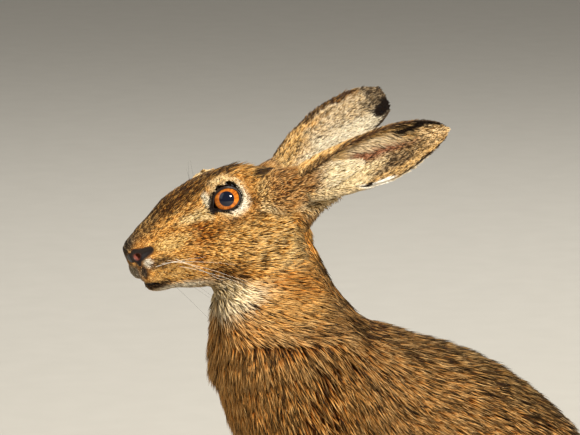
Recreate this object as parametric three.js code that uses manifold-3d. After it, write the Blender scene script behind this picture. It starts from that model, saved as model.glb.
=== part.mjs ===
// A brown hare sitting alert, at life size in millimetres. It faces -X, +Z is up, and its feet stand
// on z = 0. The sizes are those of the outline with the coat on. The head, neck, trunk and legs are
// one smooth body, worked out from oval tubes and ellipsoids that flow into each other, and that body
// is parted by thin cuts where a person would name its parts.
import * as THREE from 'three';
import { mergeVertices } from 'three/addons/utils/BufferGeometryUtils.js';
import Module from 'manifold-3d';

const wasm = await Module();
wasm.setup();

// Driving dimensions
const CUT = 0.3; // width of the thin cuts between two parts
const NOSE = { x: -152, z: 291 }; // the foremost point of the nose
const HEAD_PITCH = THREE.MathUtils.degToRad(18); // how far the nose points down
const HEAD_LENGTH = 118; // nose to nape
const EYE = { back: 68.5, up: 10.2, side: 17.4, radius: 10.4 }; // centre of the ball, in the head's directions
// Each ear's spine runs from base to tip and bows off the straight line; its scoop opens the way of open.
// lower is the side of the lower edge across the sheet, which is drawn in towards the tip.
const EARS = {
  left: {
    base: [-45, -19, 329], tip: [46, -46, 363], bow: [0, 4, -0.5], open: [-0.34, -0.93, 0.02], lower: 1,
    radius: [[0, 9], [0.07, 12.6], [0.2, 15], [0.4, 16.4], [0.6, 17.2], [0.7, 16.4], [0.8, 14.4], [0.88, 12],
      [0.95, 8.6], [1, 4.5]],
    trim: [[0, 0], [0.6, 0], [0.8, 0.06], [0.88, 0.12], [1, 0.2]],
  },
  right: {
    base: [-41, 18, 323], tip: [41, 42, 367], bow: [-1, -5, 1], open: [-0.3, 0.9, 0.2], lower: -1,
    radius: [[0, 8.5], [0.07, 10], [0.2, 12.6], [0.4, 15.8], [0.6, 17.4], [0.8, 17.6], [0.92, 17], [1, 15]],
    trim: [[0, 0], [0.8, 0], [0.92, 0.3], [1, 0.8]],
  },
};
const FORE_SIDE = 25; // forepaws either side of the middle
const HIND_SIDE = 50; // hind feet either side of the middle
const FORE_STEP = 5; // the left forepaw is this far ahead of the middle stance, the right one behind it
const CLAW = { length: 10, radius: 1.8, curl: 0.6 };

// Colours from the animal: warm ochre coat, pale belly, black and amber details
const COAT = {
  head: 0xa97c45, neck: 0xb5793a, trunk: 0x9c7446, leg: 0xb07d45, ear: 0xa58a63, tail: 0x3a322b,
};
const IRIS_COLOUR = 0xc9701c;
const CLAW_COLOUR = 0x3b302a;

// Smooth curve y(x) through [x, y] pairs, which never overshoots between them.
function profile(pairs) {
  const last = pairs.length - 1;
  const slope = pairs.slice(1).map(([x, y], i) => (y - pairs[i][1]) / (x - pairs[i][0]));
  const tangent = pairs.map((_, i) => {
    if (i === 0 || i === last) return slope[Math.min(i, last - 1)];
    const before = slope[i - 1];
    const after = slope[i];
    return before * after <= 0 ? 0 : (2 * before * after) / (before + after);
  });
  return (x) => {
    if (x <= pairs[0][0]) return pairs[0][1];
    if (x >= pairs[last][0]) return pairs[last][1];
    const i = pairs.findIndex(([to]) => to > x) - 1;
    const width = pairs[i + 1][0] - pairs[i][0];
    const t = (x - pairs[i][0]) / width;
    const start = (1 + 2 * t) * (1 - t) ** 2 * pairs[i][1] + t * (1 - t) ** 2 * width * tangent[i];
    return start + t * t * (3 - 2 * t) * pairs[i + 1][1] + t * t * (t - 1) * width * tangent[i + 1];
  };
}

// Shapes are functions of a point that are negative inside, and near the surface about the distance to it.

// Two shapes flow into each other over the given width.
function flow(a, b, width) {
  const share = Math.max(width - Math.abs(a - b), 0) / width;
  return Math.min(a, b) - (share * share * width) / 4;
}

const flowAll = (values, width) => values.reduce((sum, value) => flow(sum, value, width));

function ellipsoid(dx, dy, dz, rx, ry, rz) {
  const share = Math.max(Math.hypot(dx / rx, dy / ry, dz / rz), 1e-6);
  return Math.hypot(dx, dy, dz) * (1 - 1 / share);
}

const FAR = 25; // further off than this, the distance to a tube's bounding box is close enough

// An oval tube with round ends, on a smooth line through its stations. A station is [x, y, z, half
// depth, half width]: the width is across the body, along Y, and the depth in the upright plane.
function ovalTube(stations) {
  const line = new THREE.CatmullRomCurve3(stations.map(([x, y, z]) => new THREE.Vector3(x, y, z)));
  const girth = new THREE.SplineCurve(stations.map(([, , , depth, width]) => new THREE.Vector2(depth, width)));
  const steps = 4 * (stations.length - 1);
  const nodeAt = (_, i) => [line.getPoint(i / steps), girth.getPoint(i / steps)];
  const nodes = Array.from({ length: steps + 1 }, nodeAt);
  const pieces = nodes.slice(1).map(([to, girthTo], i) => {
    const [from, girthFrom] = nodes[i];
    const along = to.clone().sub(from);
    return { from, along, lengthSq: along.lengthSq(), girthFrom, girthStep: girthTo.clone().sub(girthFrom) };
  });
  const bounds = new THREE.Box3().setFromPoints(nodes.map(([place]) => place));
  bounds.expandByScalar(Math.max(...nodes.map(([, { x, y }]) => Math.max(x, y))));
  const point = new THREE.Vector3();
  return (x, y, z) => {
    let nearest = bounds.distanceToPoint(point.set(x, y, z));
    if (nearest > FAR) return nearest;
    nearest = Infinity;
    for (const { from, along, lengthSq, girthFrom, girthStep } of pieces) {
      const px = x - from.x;
      const py = y - from.y;
      const pz = z - from.z;
      const t = Math.min(Math.max((px * along.x + py * along.y + pz * along.z) / lengthSq, 0), 1);
      const qx = px - t * along.x;
      const qy = py - t * along.y;
      const qz = pz - t * along.z;
      const depth = Math.hypot(qx, qz) / (girthFrom.x + t * girthStep.x);
      const width = qy / (girthFrom.y + t * girthStep.y);
      const share = Math.max(Math.hypot(depth, width), 1e-6);
      nearest = Math.min(nearest, Math.hypot(qx, qy, qz) * (1 - 1 / share));
    }
    return nearest;
  };
}

// Head. Its own directions are back (from the nose along the skull), side, and up (square to both).
const COS_PITCH = Math.cos(HEAD_PITCH);
const SIN_PITCH = Math.sin(HEAD_PITCH);

function toHead(x, z) {
  const dx = x - NOSE.x;
  const dz = z - NOSE.z;
  return [dx * COS_PITCH + dz * SIN_PITCH, -dx * SIN_PITCH + dz * COS_PITCH];
}

function fromHead(back, side, up) {
  return [
    NOSE.x + back * COS_PITCH - up * SIN_PITCH,
    side,
    NOSE.z + back * SIN_PITCH + up * COS_PITCH,
  ];
}

// The head's outline seen from the side and from above, by distance from the nose
const headTop = profile([
  [2, 1.8], [5, 4.6], [9, 7.2], [13, 9.8], [18, 12.2], [23, 14.8], [27, 17], [31, 19.4], [36, 21.6], [41, 23.2],
  [47, 24.6], [54, 25.8], [62, 26.6], [72, 26.8], [80, 26.2], [88, 23.6], [96, 19], [104, 14.8], [112, 11],
]);
const headBottom = profile([
  [2, -12], [8, -26], [14, -31.5], [26, -36.5], [42, -42], [58, -45.5], [74, -44.5], [92, -38], [112, -28],
]);
const headHalfWidth = profile([
  [2, 9], [9, 14.5], [20, 18], [34, 20], [46, 22.5], [60, 26], [76, 29], [92, 28.5], [112, 25],
]);
const headWidestUp = profile([[2, -6], [12, -13], [30, -12], [60, -9], [112, -8]]);
const HEAD_SQUARENESS = 2.15;

function skull(back, side, up) {
  const at = Math.min(Math.max(back, 2), HEAD_LENGTH - 6);
  const middle = headWidestUp(at);
  const height = up > middle ? headTop(at) - middle : middle - headBottom(at);
  const across = Math.abs(side / headHalfWidth(at)) ** HEAD_SQUARENESS;
  const upright = Math.abs((up - middle) / height) ** HEAD_SQUARENESS;
  const share = Math.max((across + upright) ** (1 / HEAD_SQUARENESS), 1e-6);
  const radial = Math.hypot(side, up - middle) * (1 - 1 / share);
  const beyond = Math.abs(back - at);
  return beyond > 0 ? Math.hypot(Math.max(radial, 0), beyond) - 1 : radial;
}

// Rounded masses on the skull: [back, side, up, half length, half width, half height]
const HEAD_MASSES = [
  [9, 0, -4, 8.5, 9.5, 8.5], // nose
  [11, 8, -16.5, 9.5, 9.5, 9.5], // upper lip and whisker pad
  [17, 0, -27, 11, 8, 7], // chin
  [68, 18, 18, 15, 6, 4], // brow above the eye
  [73, 15, -22, 27, 15.5, 21], // cheek
];

function head(x, y, z) {
  const [back, up] = toHead(x, z);
  const side = Math.abs(y);
  const masses = HEAD_MASSES.map(([b, s, u, length, width, height]) =>
    ellipsoid(back - b, side - s, up - u, length, width, height));
  return flowAll([skull(back, side, up), ...masses], 4);
}

// Neck and trunk, from the nape down into the chest and back to the rump
const neck = ovalTube([
  [-60, 0, 306, 28, 24],
  [-57, 0, 280, 33, 29],
  [-54, 0, 254, 41, 36],
  [-47, 0, 228, 47, 44],
]);
const trunk = ovalTube([
  [-43, 0, 214, 49, 46],
  [-26, 0, 192, 60, 53],
  [12, 0, 166, 70, 61],
  [58, 0, 141, 77, 67],
  [98, 0, 108, 76, 68],
  [122, 0, 82, 60, 58],
]);
const tail = ovalTube([
  [162, 0, 56, 20, 21],
  [190, 0, 38, 16, 17],
  [216, 0, 26, 15.5, 17],
  [240, 0, 21, 11, 12],
]);

// Toes: [outwards from the middle of the foot, forward of its station, height, radius]. The first of
// the forefoot is the short inner toe.
const FORE_TOES = [
  [-12.5, 11, 10, 3.6], [-8.5, 27, 5, 5.2], [-3, 31, 5.2, 5.2], [3, 31, 5.2, 5.2], [8.5, 27, 5, 5.2],
];
const HIND_TOES = [[-11.5, 17, 6, 6], [-3.9, 23, 6.2, 6], [3.9, 23, 6.2, 6], [11.5, 17, 6, 6]];

// Legs of one side. side is -1 on the hare's left and 1 on its right.
function foreLeg(side) {
  const step = side * FORE_STEP;
  const y = side * FORE_SIDE;
  const pawX = -60 + step;
  return {
    upperArm: ovalTube([
      [-36, side * 33, 214, 26, 17],
      [-34, side * 36, 186, 27, 18],
      [-26, side * 33, 156, 20, 15.5],
    ]),
    forearm: ovalTube([
      [-27, side * 32, 156, 19, 15],
      [-37, side * 29, 118, 15, 12.5],
      [-46 + step * 0.6, side * 26, 78, 12, 11],
      [pawX + 6, y, 40, 10.5, 10.5],
    ]),
    paw: ovalTube([
      [pawX + 6, y, 38, 10.5, 10.5],
      [pawX + 1, y, 20, 10.5, 11.5],
      [pawX - 9, y, 9, 10, 13],
      [pawX - 18, y, 7, 8, 12],
    ]),
    toes: FORE_TOES.map(([across, reach, z, radius]) => ({
      x: pawX - reach, y: y + side * across, z, radius,
      from: [pawX - reach + 15, y + side * across * 0.8, z + 2],
    })),
  };
}

function hindLeg(side) {
  const y = side * HIND_SIDE;
  return {
    thigh: ovalTube([
      [124, side * 40, 104, 54, 24],
      [88, side * 46, 102, 55, 27],
      [48, side * 49, 92, 46, 25],
      [18, side * 48, 78, 32, 20],
    ]),
    shank: ovalTube([
      [14, side * 50, 68, 21, 17],
      [54, side * 51, 50, 17, 15],
      [96, side * 50, 34, 14, 13],
      [124, y, 22, 13, 12],
    ]),
    foot: ovalTube([
      [126, y, 13, 14, 11.5],
      [92, y, 11.5, 12.5, 12],
      [46, y, 11, 12, 13.5],
      [12, y, 10, 11, 16],
      [-2, y, 8.5, 9.5, 15.5],
    ]),
    toes: HIND_TOES.map(([across, reach, z, radius]) => ({
      x: -reach, y: y + side * across, z, radius,
      from: [-reach + 20, y + side * across * 0.75, z + 2],
    })),
  };
}

const sides = [['left', -1], ['right', 1]].map(([word, side]) => {
  const fore = foreLeg(side);
  const hind = hindLeg(side);
  for (const limb of [fore, hind]) {
    limb.toeShapes = limb.toes.map(({ x, y, z, radius, from }) =>
      ovalTube([[...from, radius + 1, radius], [x + radius, y, z, radius, radius * 0.9]]));
  }
  return { word, side, fore, hind };
});

function body(x, y, z) {
  let value = flow(neck(x, y, z), trunk(x, y, z), 16);
  value = flow(value, head(x, y, z), 12);
  value = flow(value, ellipsoid(x + 41, Math.abs(y) - 18, z - 313, 11, 10, 11), 8); // fur below the ear
  value = flow(value, tail(x, y, z), 10);
  const { fore, hind } = sides[y < 0 ? 0 : 1];
  value = flow(value, fore.upperArm(x, y, z), 16);
  value = flow(value, hind.thigh(x, y, z), 9);
  const foreToes = fore.toeShapes.map((toe) => toe(x, y, z));
  const hindToes = hind.toeShapes.map((toe) => toe(x, y, z));
  const lowerFore = flowAll([fore.forearm(x, y, z), fore.paw(x, y, z), ...foreToes], 3);
  const lowerHind = flowAll([hind.shank(x, y, z), hind.foot(x, y, z), ...hindToes], 3);
  value = flow(value, lowerFore, 6);
  return flow(value, lowerHind, 5);
}

// The corners and edges of a unit cube. Each face lists its edges in order round it, and the corner
// that each of them shares with the next one.
const CORNERS = [0, 1].flatMap((i) => [0, 1].flatMap((j) => [0, 1].map((k) => [i, j, k])));
const cornerAt = (place) => CORNERS.findIndex((corner) => corner.every((c, axis) => c === place[axis]));
const EDGES = CORNERS.flatMap((corner, a) => [0, 1, 2].filter((axis) => corner[axis] === 0).map((axis) => {
  const b = cornerAt(corner.map((c, other) => (other === axis ? 1 : c)));
  return { a, b, axis };
}));
const edgeAt = (m, n) => EDGES.findIndex(({ a, b }) => (a === m && b === n) || (a === n && b === m));
const FACES = [0, 1, 2].flatMap((axis) => [0, 1].map((level) => {
  const round = [[0, 0], [1, 0], [1, 1], [0, 1]].map(([p, q]) => {
    const place = [0, 0, 0];
    place[axis] = level;
    place[(axis + 1) % 3] = p;
    place[(axis + 2) % 3] = q;
    return cornerAt(place);
  });
  return round.map((corner, i) => ({ edge: edgeAt(corner, round[(i + 1) % 4]), shared: round[(i + 1) % 4] }));
}));

// The edges of a cube that the surface crosses, sorted into the sheets of surface that cross it.
function sheetsIn(corners) {
  const sheet = EDGES.map(({ a, b }, i) => (corners[a] < 0 !== corners[b] < 0 ? i : -1));
  const join = (m, n) => {
    const [from, to] = [sheet[m], sheet[n]];
    sheet.forEach((found, i) => { if (found === from) sheet[i] = to; });
  };
  for (const face of FACES) {
    const crossed = face.filter(({ edge }) => sheet[edge] >= 0);
    if (crossed.length === 2) join(crossed[0].edge, crossed[1].edge);
    if (crossed.length === 4)
      face.forEach(({ edge, shared }, i) => { if (corners[shared] < 0) join(edge, face[(i + 1) % 4].edge); });
  }
  return sheet;
}

// The surface where a shape is 0, inside a box, as a closed mesh of even facets.
function surfaceOf(shape, [low, high], cell) {
  const count = low.map((from, i) => Math.ceil((high[i] - from) / cell) + 1);
  const index = (i, j, k) => (i * count[1] + j) * count[2] + k;
  const value = new Float64Array(count[0] * count[1] * count[2]);
  const place = (i, axis) => low[axis] + i * cell;
  for (let i = 0; i < count[0]; i++)
    for (let j = 0; j < count[1]; j++)
      for (let k = 0; k < count[2]; k++) {
        const found = shape(place(i, 0), place(j, 1), place(k, 2));
        const outer = [i, j, k].some((c, axis) => c === 0 || c === count[axis] - 1);
        value[index(i, j, k)] = outer ? Math.max(found, cell / 4) : found;
      }

  const positions = [];
  const vertexAt = new Map();
  for (let i = 0; i < count[0] - 1; i++)
    for (let j = 0; j < count[1] - 1; j++)
      for (let k = 0; k < count[2] - 1; k++) {
        const corners = CORNERS.map(([a, b, c]) => value[index(i + a, j + b, k + c)]);
        const insideCount = corners.filter((v) => v < 0).length;
        if (insideCount === 0 || insideCount === 8) continue;
        const sheet = sheetsIn(corners);
        const inner = [i, j, k].every((c, axis) => c > 0 && c < count[axis] - 2);
        for (const found of new Set(sheet.filter((s) => s >= 0))) {
          const crossed = EDGES.filter((_, e) => sheet[e] === found);
          const middle = [0, 0, 0];
          for (const { a, b, axis } of crossed) {
            const t = corners[a] / (corners[a] - corners[b]);
            CORNERS[a].forEach((c, other) => {
              middle[other] += (c + (other === axis ? t : 0)) / crossed.length;
            });
          }
          const point = [place(i + middle[0], 0), place(j + middle[1], 1), place(k + middle[2], 2)];
          sheet.forEach((s, e) => {
            if (s === found) vertexAt.set(12 * index(i, j, k) + e, positions.length / 3);
          });
          positions.push(...(inner ? ontoSurface(shape, point, cell / 2) : point));
        }
      }

  const triangles = [];
  for (let i = 0; i < count[0] - 1; i++)
    for (let j = 0; j < count[1] - 1; j++)
      for (let k = 0; k < count[2] - 1; k++)
        for (let axis = 0; axis < 3; axis++) {
          const next = [i, j, k];
          if (next.some((c, other) => c === 0 && other !== axis)) continue;
          next[axis] += 1;
          const isInside = value[index(i, j, k)] < 0;
          if (isInside === value[index(...next)] < 0) continue;
          const quad = [[0, 0], [1, 0], [1, 1], [0, 1]].map(([p, q]) => {
            const back = [0, 0, 0];
            back[(axis + 1) % 3] = p;
            back[(axis + 2) % 3] = q;
            const edge = EDGES.findIndex((e) => e.a === cornerAt(back) && e.axis === axis);
            return vertexAt.get(12 * index(i - back[0], j - back[1], k - back[2]) + edge);
          });
          if (!isInside) quad.reverse();
          triangles.push(...splitQuad(quad, positions));
        }
  return solid(new Float32Array(positions), new Uint32Array(triangles));
}

// Moves a point along the shape's slope until it lies on the surface, but no further than the limit.
function ontoSurface(shape, start, limit) {
  const reach = 0.4;
  let point = start;
  for (let round = 0; round < 3; round++) {
    const [x, y, z] = point;
    const slope = [
      shape(x + reach, y, z) - shape(x - reach, y, z),
      shape(x, y + reach, z) - shape(x, y - reach, z),
      shape(x, y, z + reach) - shape(x, y, z - reach),
    ].map((difference) => difference / (2 * reach));
    const steepness = Math.max(slope.reduce((sum, c) => sum + c * c, 0), 0.05);
    const move = shape(x, y, z) / steepness;
    point = point.map((c, axis) => c - move * slope[axis]);
  }
  const offset = point.map((c, axis) => c - start[axis]);
  const length = Math.hypot(...offset);
  const share = length > limit ? limit / length : 1;
  return start.map((c, axis) => c + offset[axis] * share);
}

// A quad as two triangles, split along its shorter diagonal.
function splitQuad([a, b, c, d], positions) {
  const between = (m, n) =>
    Math.hypot(...[0, 1, 2].map((axis) => positions[3 * m + axis] - positions[3 * n + axis]));
  return between(a, c) < between(b, d) ? [a, b, c, a, c, d] : [a, b, d, b, c, d];
}

function solid(vertProperties, triVerts) {
  return new wasm.Manifold(new wasm.Mesh({ numProp: 3, vertProperties, triVerts }));
}

function solidOfGeometry(geometry) {
  const bare = geometry.clone();
  bare.deleteAttribute('normal');
  bare.deleteAttribute('uv');
  const merged = mergeVertices(bare, 1e-4);
  return solid(new Float32Array(merged.attributes.position.array), new Uint32Array(merged.index.array));
}

// Half of space on one side of a plane: from the point onwards in the given direction.
function beyond(point, direction, gap = CUT / 2) {
  const reach = 900;
  const box = new THREE.BoxGeometry(reach, reach, reach);
  const along = new THREE.Vector3(...direction).normalize();
  box.translate(0, 0, reach / 2);
  box.applyQuaternion(new THREE.Quaternion().setFromUnitVectors(new THREE.Vector3(0, 0, 1), along));
  const start = new THREE.Vector3(...point).addScaledVector(along, gap);
  return solidOfGeometry(box.translate(start.x, start.y, start.z));
}

const FLOOR = beyond([0, 0, 0], [0, 0, 1], 0);

// The part of the whole body in a box, down to the floor.
const bodyIn = (box, cell) => surfaceOf(body, box, cell).intersect(FLOOR);

// Only the largest body is kept, without the slivers that a cut can leave.
function largest(made) {
  return made.decompose().reduce((best, next) => (next.volume() > best.volume() ? next : best));
}

// Cuts behind the head, below the neck and at the tail root: a point, and the way away from the nose
const HEAD_CUT = [fromHead(86, 0, -12), [0.86, 0, -0.5]];
const NECK_CUT = [[-52, 0, 238], [0.42, 0, -0.9]];
const TAIL_CUT = [[178, 0, 44], [0.86, 0, -0.4]];
const ahead = ([point, [x, y, z]]) => beyond(point, [-x, -y, -z]);
const behind = ([point, direction]) => beyond(point, direction);

// A limb is what the body holds inside an outline in the side view, [x, z] counter-clockwise, from
// this far off the middle outwards. Earlier limbs of a list go before later ones.
const FORE_LIMBS = [
  { name: 'forepaw', from: 6, to: 50, cell: 8.6, outline: [[-124, -20], [-30, -20], [-30, 40], [-124, 40]] },
  {
    name: 'forearm', from: 14, to: 56, cell: 11,
    outline: [[-84, 40], [-24, 40], [-17, 90], [-9, 122], [-10, 140], [-30, 145], [-52, 138], [-66, 100]],
  },
  {
    name: 'upper_arm', from: 24, to: 64, cell: 14.5,
    outline: [[-26, 124], [-4, 134], [6, 166], [1, 204], [-15, 232], [-41, 240], [-64, 222], [-72, 190],
      [-65, 160], [-50, 132]],
  },
];
const HIND_LIMBS = [
  {
    name: 'hind_foot', from: 26, to: 74, cell: 10,
    outline: [[-44, -22], [160, -22], [150, 18], [128, 29], [40, 27], [-44, 27]],
  },
  {
    name: 'thigh', from: 28, to: 88, cell: 16,
    outline: [[-20, 62], [20, 56], [62, 50], [104, 46], [146, 56], [170, 84], [172, 116], [150, 146],
      [108, 160], [60, 152], [18, 132], [-4, 108], [-20, 84]],
  },
  {
    name: 'shank', from: 33, to: 72, cell: 12,
    outline: [[-22, 50], [20, 34], [60, 22], [112, 6], [146, 10], [142, 40], [110, 56], [60, 70], [20, 84],
      [-20, 84]],
  },
];
const OUTLINE_STEPS = 24;
const CORNERED = 4; // an outline of this many points is a rectangle

// A closed path of straight sides.
function straightPath([first, ...others]) {
  const path = new THREE.Path().moveTo(first.x, first.y);
  others.forEach((corner) => path.lineTo(corner.x, corner.y));
  return path.closePath();
}

function limbSpace({ from, outline }, side, margin) {
  const corners = outline.map(([x, z]) => new THREE.Vector3(x, z, 0));
  const curve = outline.length === CORNERED ? straightPath(corners) : new THREE.CatmullRomCurve3(corners, true);
  const rim = Array.from({ length: OUTLINE_STEPS }, (_, i) => {
    const point = curve.getPointAt(i / OUTLINE_STEPS);
    const tangent = curve.getTangentAt(i / OUTLINE_STEPS);
    return new THREE.Vector2(point.x + margin * tangent.y, point.y - margin * tangent.x);
  });
  const depth = 110;
  const space = new THREE.ExtrudeGeometry(new THREE.Shape(rim), { depth, bevelEnabled: false });
  space.rotateX(Math.PI / 2).translate(0, side < 0 ? margin - from : from - margin + depth, 0);
  return solidOfGeometry(space);
}

function boxOfLimb({ from, to, outline }, side, cell) {
  const [x, z] = [0, 1].map((axis) => outline.map((point) => point[axis]));
  const [near, far] = side < 0 ? [-to, -from + cell] : [from - cell, to];
  const low = [Math.min(...x) - cell, near, Math.min(...z) - cell];
  return [low, [Math.max(...x) + cell, far, Math.max(...z) + cell]];
}

// Eyeballs, a little proud of the head
function eyeBall(side, radius) {
  const [x, y, z] = fromHead(EYE.back, side * EYE.side, EYE.up);
  return solidOfGeometry(new THREE.IcosahedronGeometry(radius, 2).translate(x, y, z));
}

// A solid of rings of points, closed by the middle of the first ring and of the last one.
function ringSolid(rings) {
  const around = rings[0].length;
  const middle = (ring) => ring.reduce((sum, point) => sum.add(point), new THREE.Vector3()).divideScalar(around);
  const points = [...rings.flat(), middle(rings[0]), middle(rings.at(-1))];
  const triangles = [];
  for (let j = 0; j < around; j++) {
    const next = (j + 1) % around;
    for (let i = 0; i < rings.length - 1; i++) {
      const [a, b] = [i * around + j, i * around + next];
      triangles.push(a, b, b + around, a, b + around, a + around);
    }
    const last = (rings.length - 1) * around;
    triangles.push(next, j, points.length - 2, last + j, last + next, points.length - 1);
  }
  const positions = new Float32Array(points.flatMap((point) => point.toArray()));
  const made = solid(positions, new Uint32Array(triangles));
  return made.volume() > 0 ? made : solid(positions, new Uint32Array(triangles.reverse()));
}

// Ears. A sheet curled about its length: nearly a closed tube at the base, a wide scoop in the middle
// and a rounded tip. u runs from the base to the tip. The margin grows the ear all round, for the
// socket that it stands in.
const earHalfAngle = profile([
  [0, 2.7], [0.13, 2.6], [0.27, 2.4], [0.37, 2.2], [0.45, 1.75], [0.6, 1.45], [0.8, 1.15], [1, 0.9],
]);
const earThickness = profile([[0, 4.6], [0.3, 3.8], [0.7, 3.2], [1, 2.2]]);
const RIM_SHARE = 0.5; // thickness of the rims as a share of the middle
const EAR_ROWS = 8;
const EAR_COLUMNS = 6;

function ear({ base, tip, bow, open, lower, radius: radii, trim: trims }, margin = 0) {
  const [earRadius, trim] = [profile(radii), profile(trims)];
  const [foot, end, bend, facing] = [base, tip, bow, open].map((values) => new THREE.Vector3(...values));
  const along = end.clone().sub(foot).normalize();
  facing.addScaledVector(along, -along.dot(facing)).normalize();
  const across = new THREE.Vector3().crossVectors(along, facing);
  const rings = Array.from({ length: EAR_ROWS + 1 }, (_, i) => {
    const u = 1 - (1 - i / EAR_ROWS) ** 1.4;
    const radius = earRadius(u);
    const spine = foot.clone().lerp(end, u).addScaledVector(bend, Math.sin(Math.PI * u));
    if (i === 0) spine.addScaledVector(along, -margin);
    const sheet = (share, offset) => {
      const drawnIn = trim(u) * Math.max(share * lower, 0) ** 2;
      const angle = share * (earHalfAngle(u) * (1 - drawnIn) + margin / radius);
      const reach = radius + offset;
      return spine.clone().addScaledVector(across, reach * Math.sin(angle))
        .addScaledVector(facing, radius - reach * Math.cos(angle));
    };
    const shares = Array.from({ length: EAR_COLUMNS + 1 }, (_, j) => (2 * j) / EAR_COLUMNS - 1);
    const inset = (share) => -earThickness(u) * (1 - (1 - RIM_SHARE) * share ** 4) - margin;
    const outer = shares.map((share) => sheet(share, margin));
    return [...outer, ...shares.reverse().map((share) => sheet(share, inset(share)))];
  });
  return sheetSolid(rings);
}

// A solid of flat rings, each an open sheet's outer edge there and its inner edge back again.
function sheetSolid(rings) {
  const around = rings[0].length;
  const quads = [];
  for (let j = 0; j < around; j++) {
    const next = (j + 1) % around;
    for (let i = 0; i < rings.length - 1; i++)
      quads.push([i * around + j, (i + 1) * around + j, (i + 1) * around + next, i * around + next]);
  }
  for (let j = 0; j < around / 2 - 1; j++) {
    const [back, last] = [around - 1 - j, (rings.length - 1) * around];
    quads.push([j, j + 1, back - 1, back], [last + j, last + back, last + back - 1, last + j + 1]);
  }
  const positions = rings.flat().flatMap((point) => point.toArray());
  const triangles = quads.flatMap((quad) => splitQuad(quad, positions));
  return solid(new Float32Array(positions), new Uint32Array(triangles));
}

// A claw: a horn that starts inside the toe and curves forward and down.
function claw({ x, y, z, radius }, margin = 0) {
  const rings = [0, 0.6, 1].map((u) => {
    const turn = CLAW.curl * u;
    const thick = CLAW.radius * (1 - 0.8 * u) + margin;
    const centre = [x + 0.4 * radius - CLAW.length * u, y, z + 1 - CLAW.length * 0.5 * u * Math.sin(turn)];
    if (u === 0) centre[0] += margin;
    return Array.from({ length: 4 }, (_, j) => {
      const angle = (2 * Math.PI * j) / 4;
      const [across, up] = [0.8 * thick * Math.cos(angle), thick * Math.sin(angle)];
      const offset = new THREE.Vector3(-up * Math.sin(turn), across, up * Math.cos(turn));
      return offset.add(new THREE.Vector3(...centre));
    });
  });
  return ringSolid(rings);
}

const pieces = [];
const legSpaces = [];
for (const { word, side, fore, hind } of sides) {
  const before = [];
  for (const [limbs, toes, foot] of [[FORE_LIMBS, fore.toes, 'fore'], [HIND_LIMBS, hind.toes, 'hind']]) {
    for (const limb of limbs) {
      let piece = bodyIn(boxOfLimb(limb, side, limb.cell), limb.cell).intersect(limbSpace(limb, side, 0));
      before.forEach((space) => { piece = piece.subtract(space); });
      if (limb === limbs[0]) toes.forEach((toe) => { piece = piece.subtract(claw(toe, CUT)); });
      pieces.push([`${limb.name}_${word}`, largest(piece), COAT.leg]);
      before.push(limbSpace(limb, side, CUT));
    }
    toes.forEach((toe, i) => pieces.push([`claw_${foot}_${word}_${i + 1}`, claw(toe), CLAW_COLOUR]));
  }
  legSpaces.push(...before);
}
const withoutLegs = (made) => legSpaces.reduce((rest, space) => rest.subtract(space), made);
const earSockets = Object.values(EARS).map((shape) => ear(shape, CUT));
const withoutEars = (made) => earSockets.reduce((rest, socket) => rest.subtract(socket), made);

let headSolid = bodyIn([[-164, -44, 236], [-24, 44, 356]], 8.4).intersect(ahead(HEAD_CUT));
for (const { word, side } of sides) {
  headSolid = headSolid.subtract(eyeBall(side, EYE.radius + CUT));
  pieces.push([`eye_${word}`, eyeBall(side, EYE.radius), IRIS_COLOUR]);
  pieces.push([`ear_${word}`, ear(EARS[word]), COAT.ear]);
}
pieces.push(['head', largest(withoutEars(headSolid)), COAT.head]);
const neckBox = [[-118, -58, 180], [10, 58, 350]];
const neckSolid = bodyIn(neckBox, 12.5).intersect(behind(HEAD_CUT)).intersect(ahead(NECK_CUT));
pieces.push(['neck', largest(withoutEars(withoutLegs(neckSolid))), COAT.neck]);
const trunkBox = [[-120, -92, 6], [212, 92, 280]];
const trunkSolid = bodyIn(trunkBox, 18).intersect(behind(NECK_CUT)).intersect(ahead(TAIL_CUT));
pieces.push(['trunk', largest(withoutLegs(trunkSolid)), COAT.trunk]);
const tailSolid = bodyIn([[150, -34, -6], [264, 34, 84]], 11.5).intersect(behind(TAIL_CUT));
pieces.push(['tail', largest(withoutLegs(tailSolid)), COAT.tail]);

// The scene graph, moved so that its origin is under the middle of the animal
const hare = new THREE.Group();
for (const [name, made, colour] of pieces) {
  const { vertProperties, triVerts } = made.getMesh();
  const geometry = new THREE.BufferGeometry();
  geometry.setAttribute('position', new THREE.BufferAttribute(new Float32Array(vertProperties), 3));
  geometry.setIndex(new THREE.BufferAttribute(new Uint32Array(triVerts), 1));
  geometry.computeVertexNormals();
  const roughness = name.startsWith('eye') ? 0.05 : 0.85;
  const material = new THREE.MeshStandardMaterial({ color: colour, roughness, metalness: 0 });
  const mesh = new THREE.Mesh(geometry, material);
  mesh.name = name;
  hare.add(mesh);
}
const bounds = new THREE.Box3().setFromObject(hare);
hare.position.x = -(bounds.min.x + bounds.max.x) / 2;

export default hare;
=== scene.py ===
"""A brown hare sitting alert, at life size: its skin, coat, ears, eyes, claws and whiskers.

Shapes are worked out in the hare's own millimetres, in which it faces -X, +Z is up and its feet
stand on z = 0. Each finished mesh is moved into the frame, in metres, as its last step. The form
of the body is a function of a point, negative inside, and the skin is where that function is 0.
"""

import logging
import math
from collections.abc import Callable, Sequence
from dataclasses import dataclass, field, replace
from enum import Enum

import bmesh
import bpy
import numpy as np
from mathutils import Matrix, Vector
from mathutils.kdtree import KDTree


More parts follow.
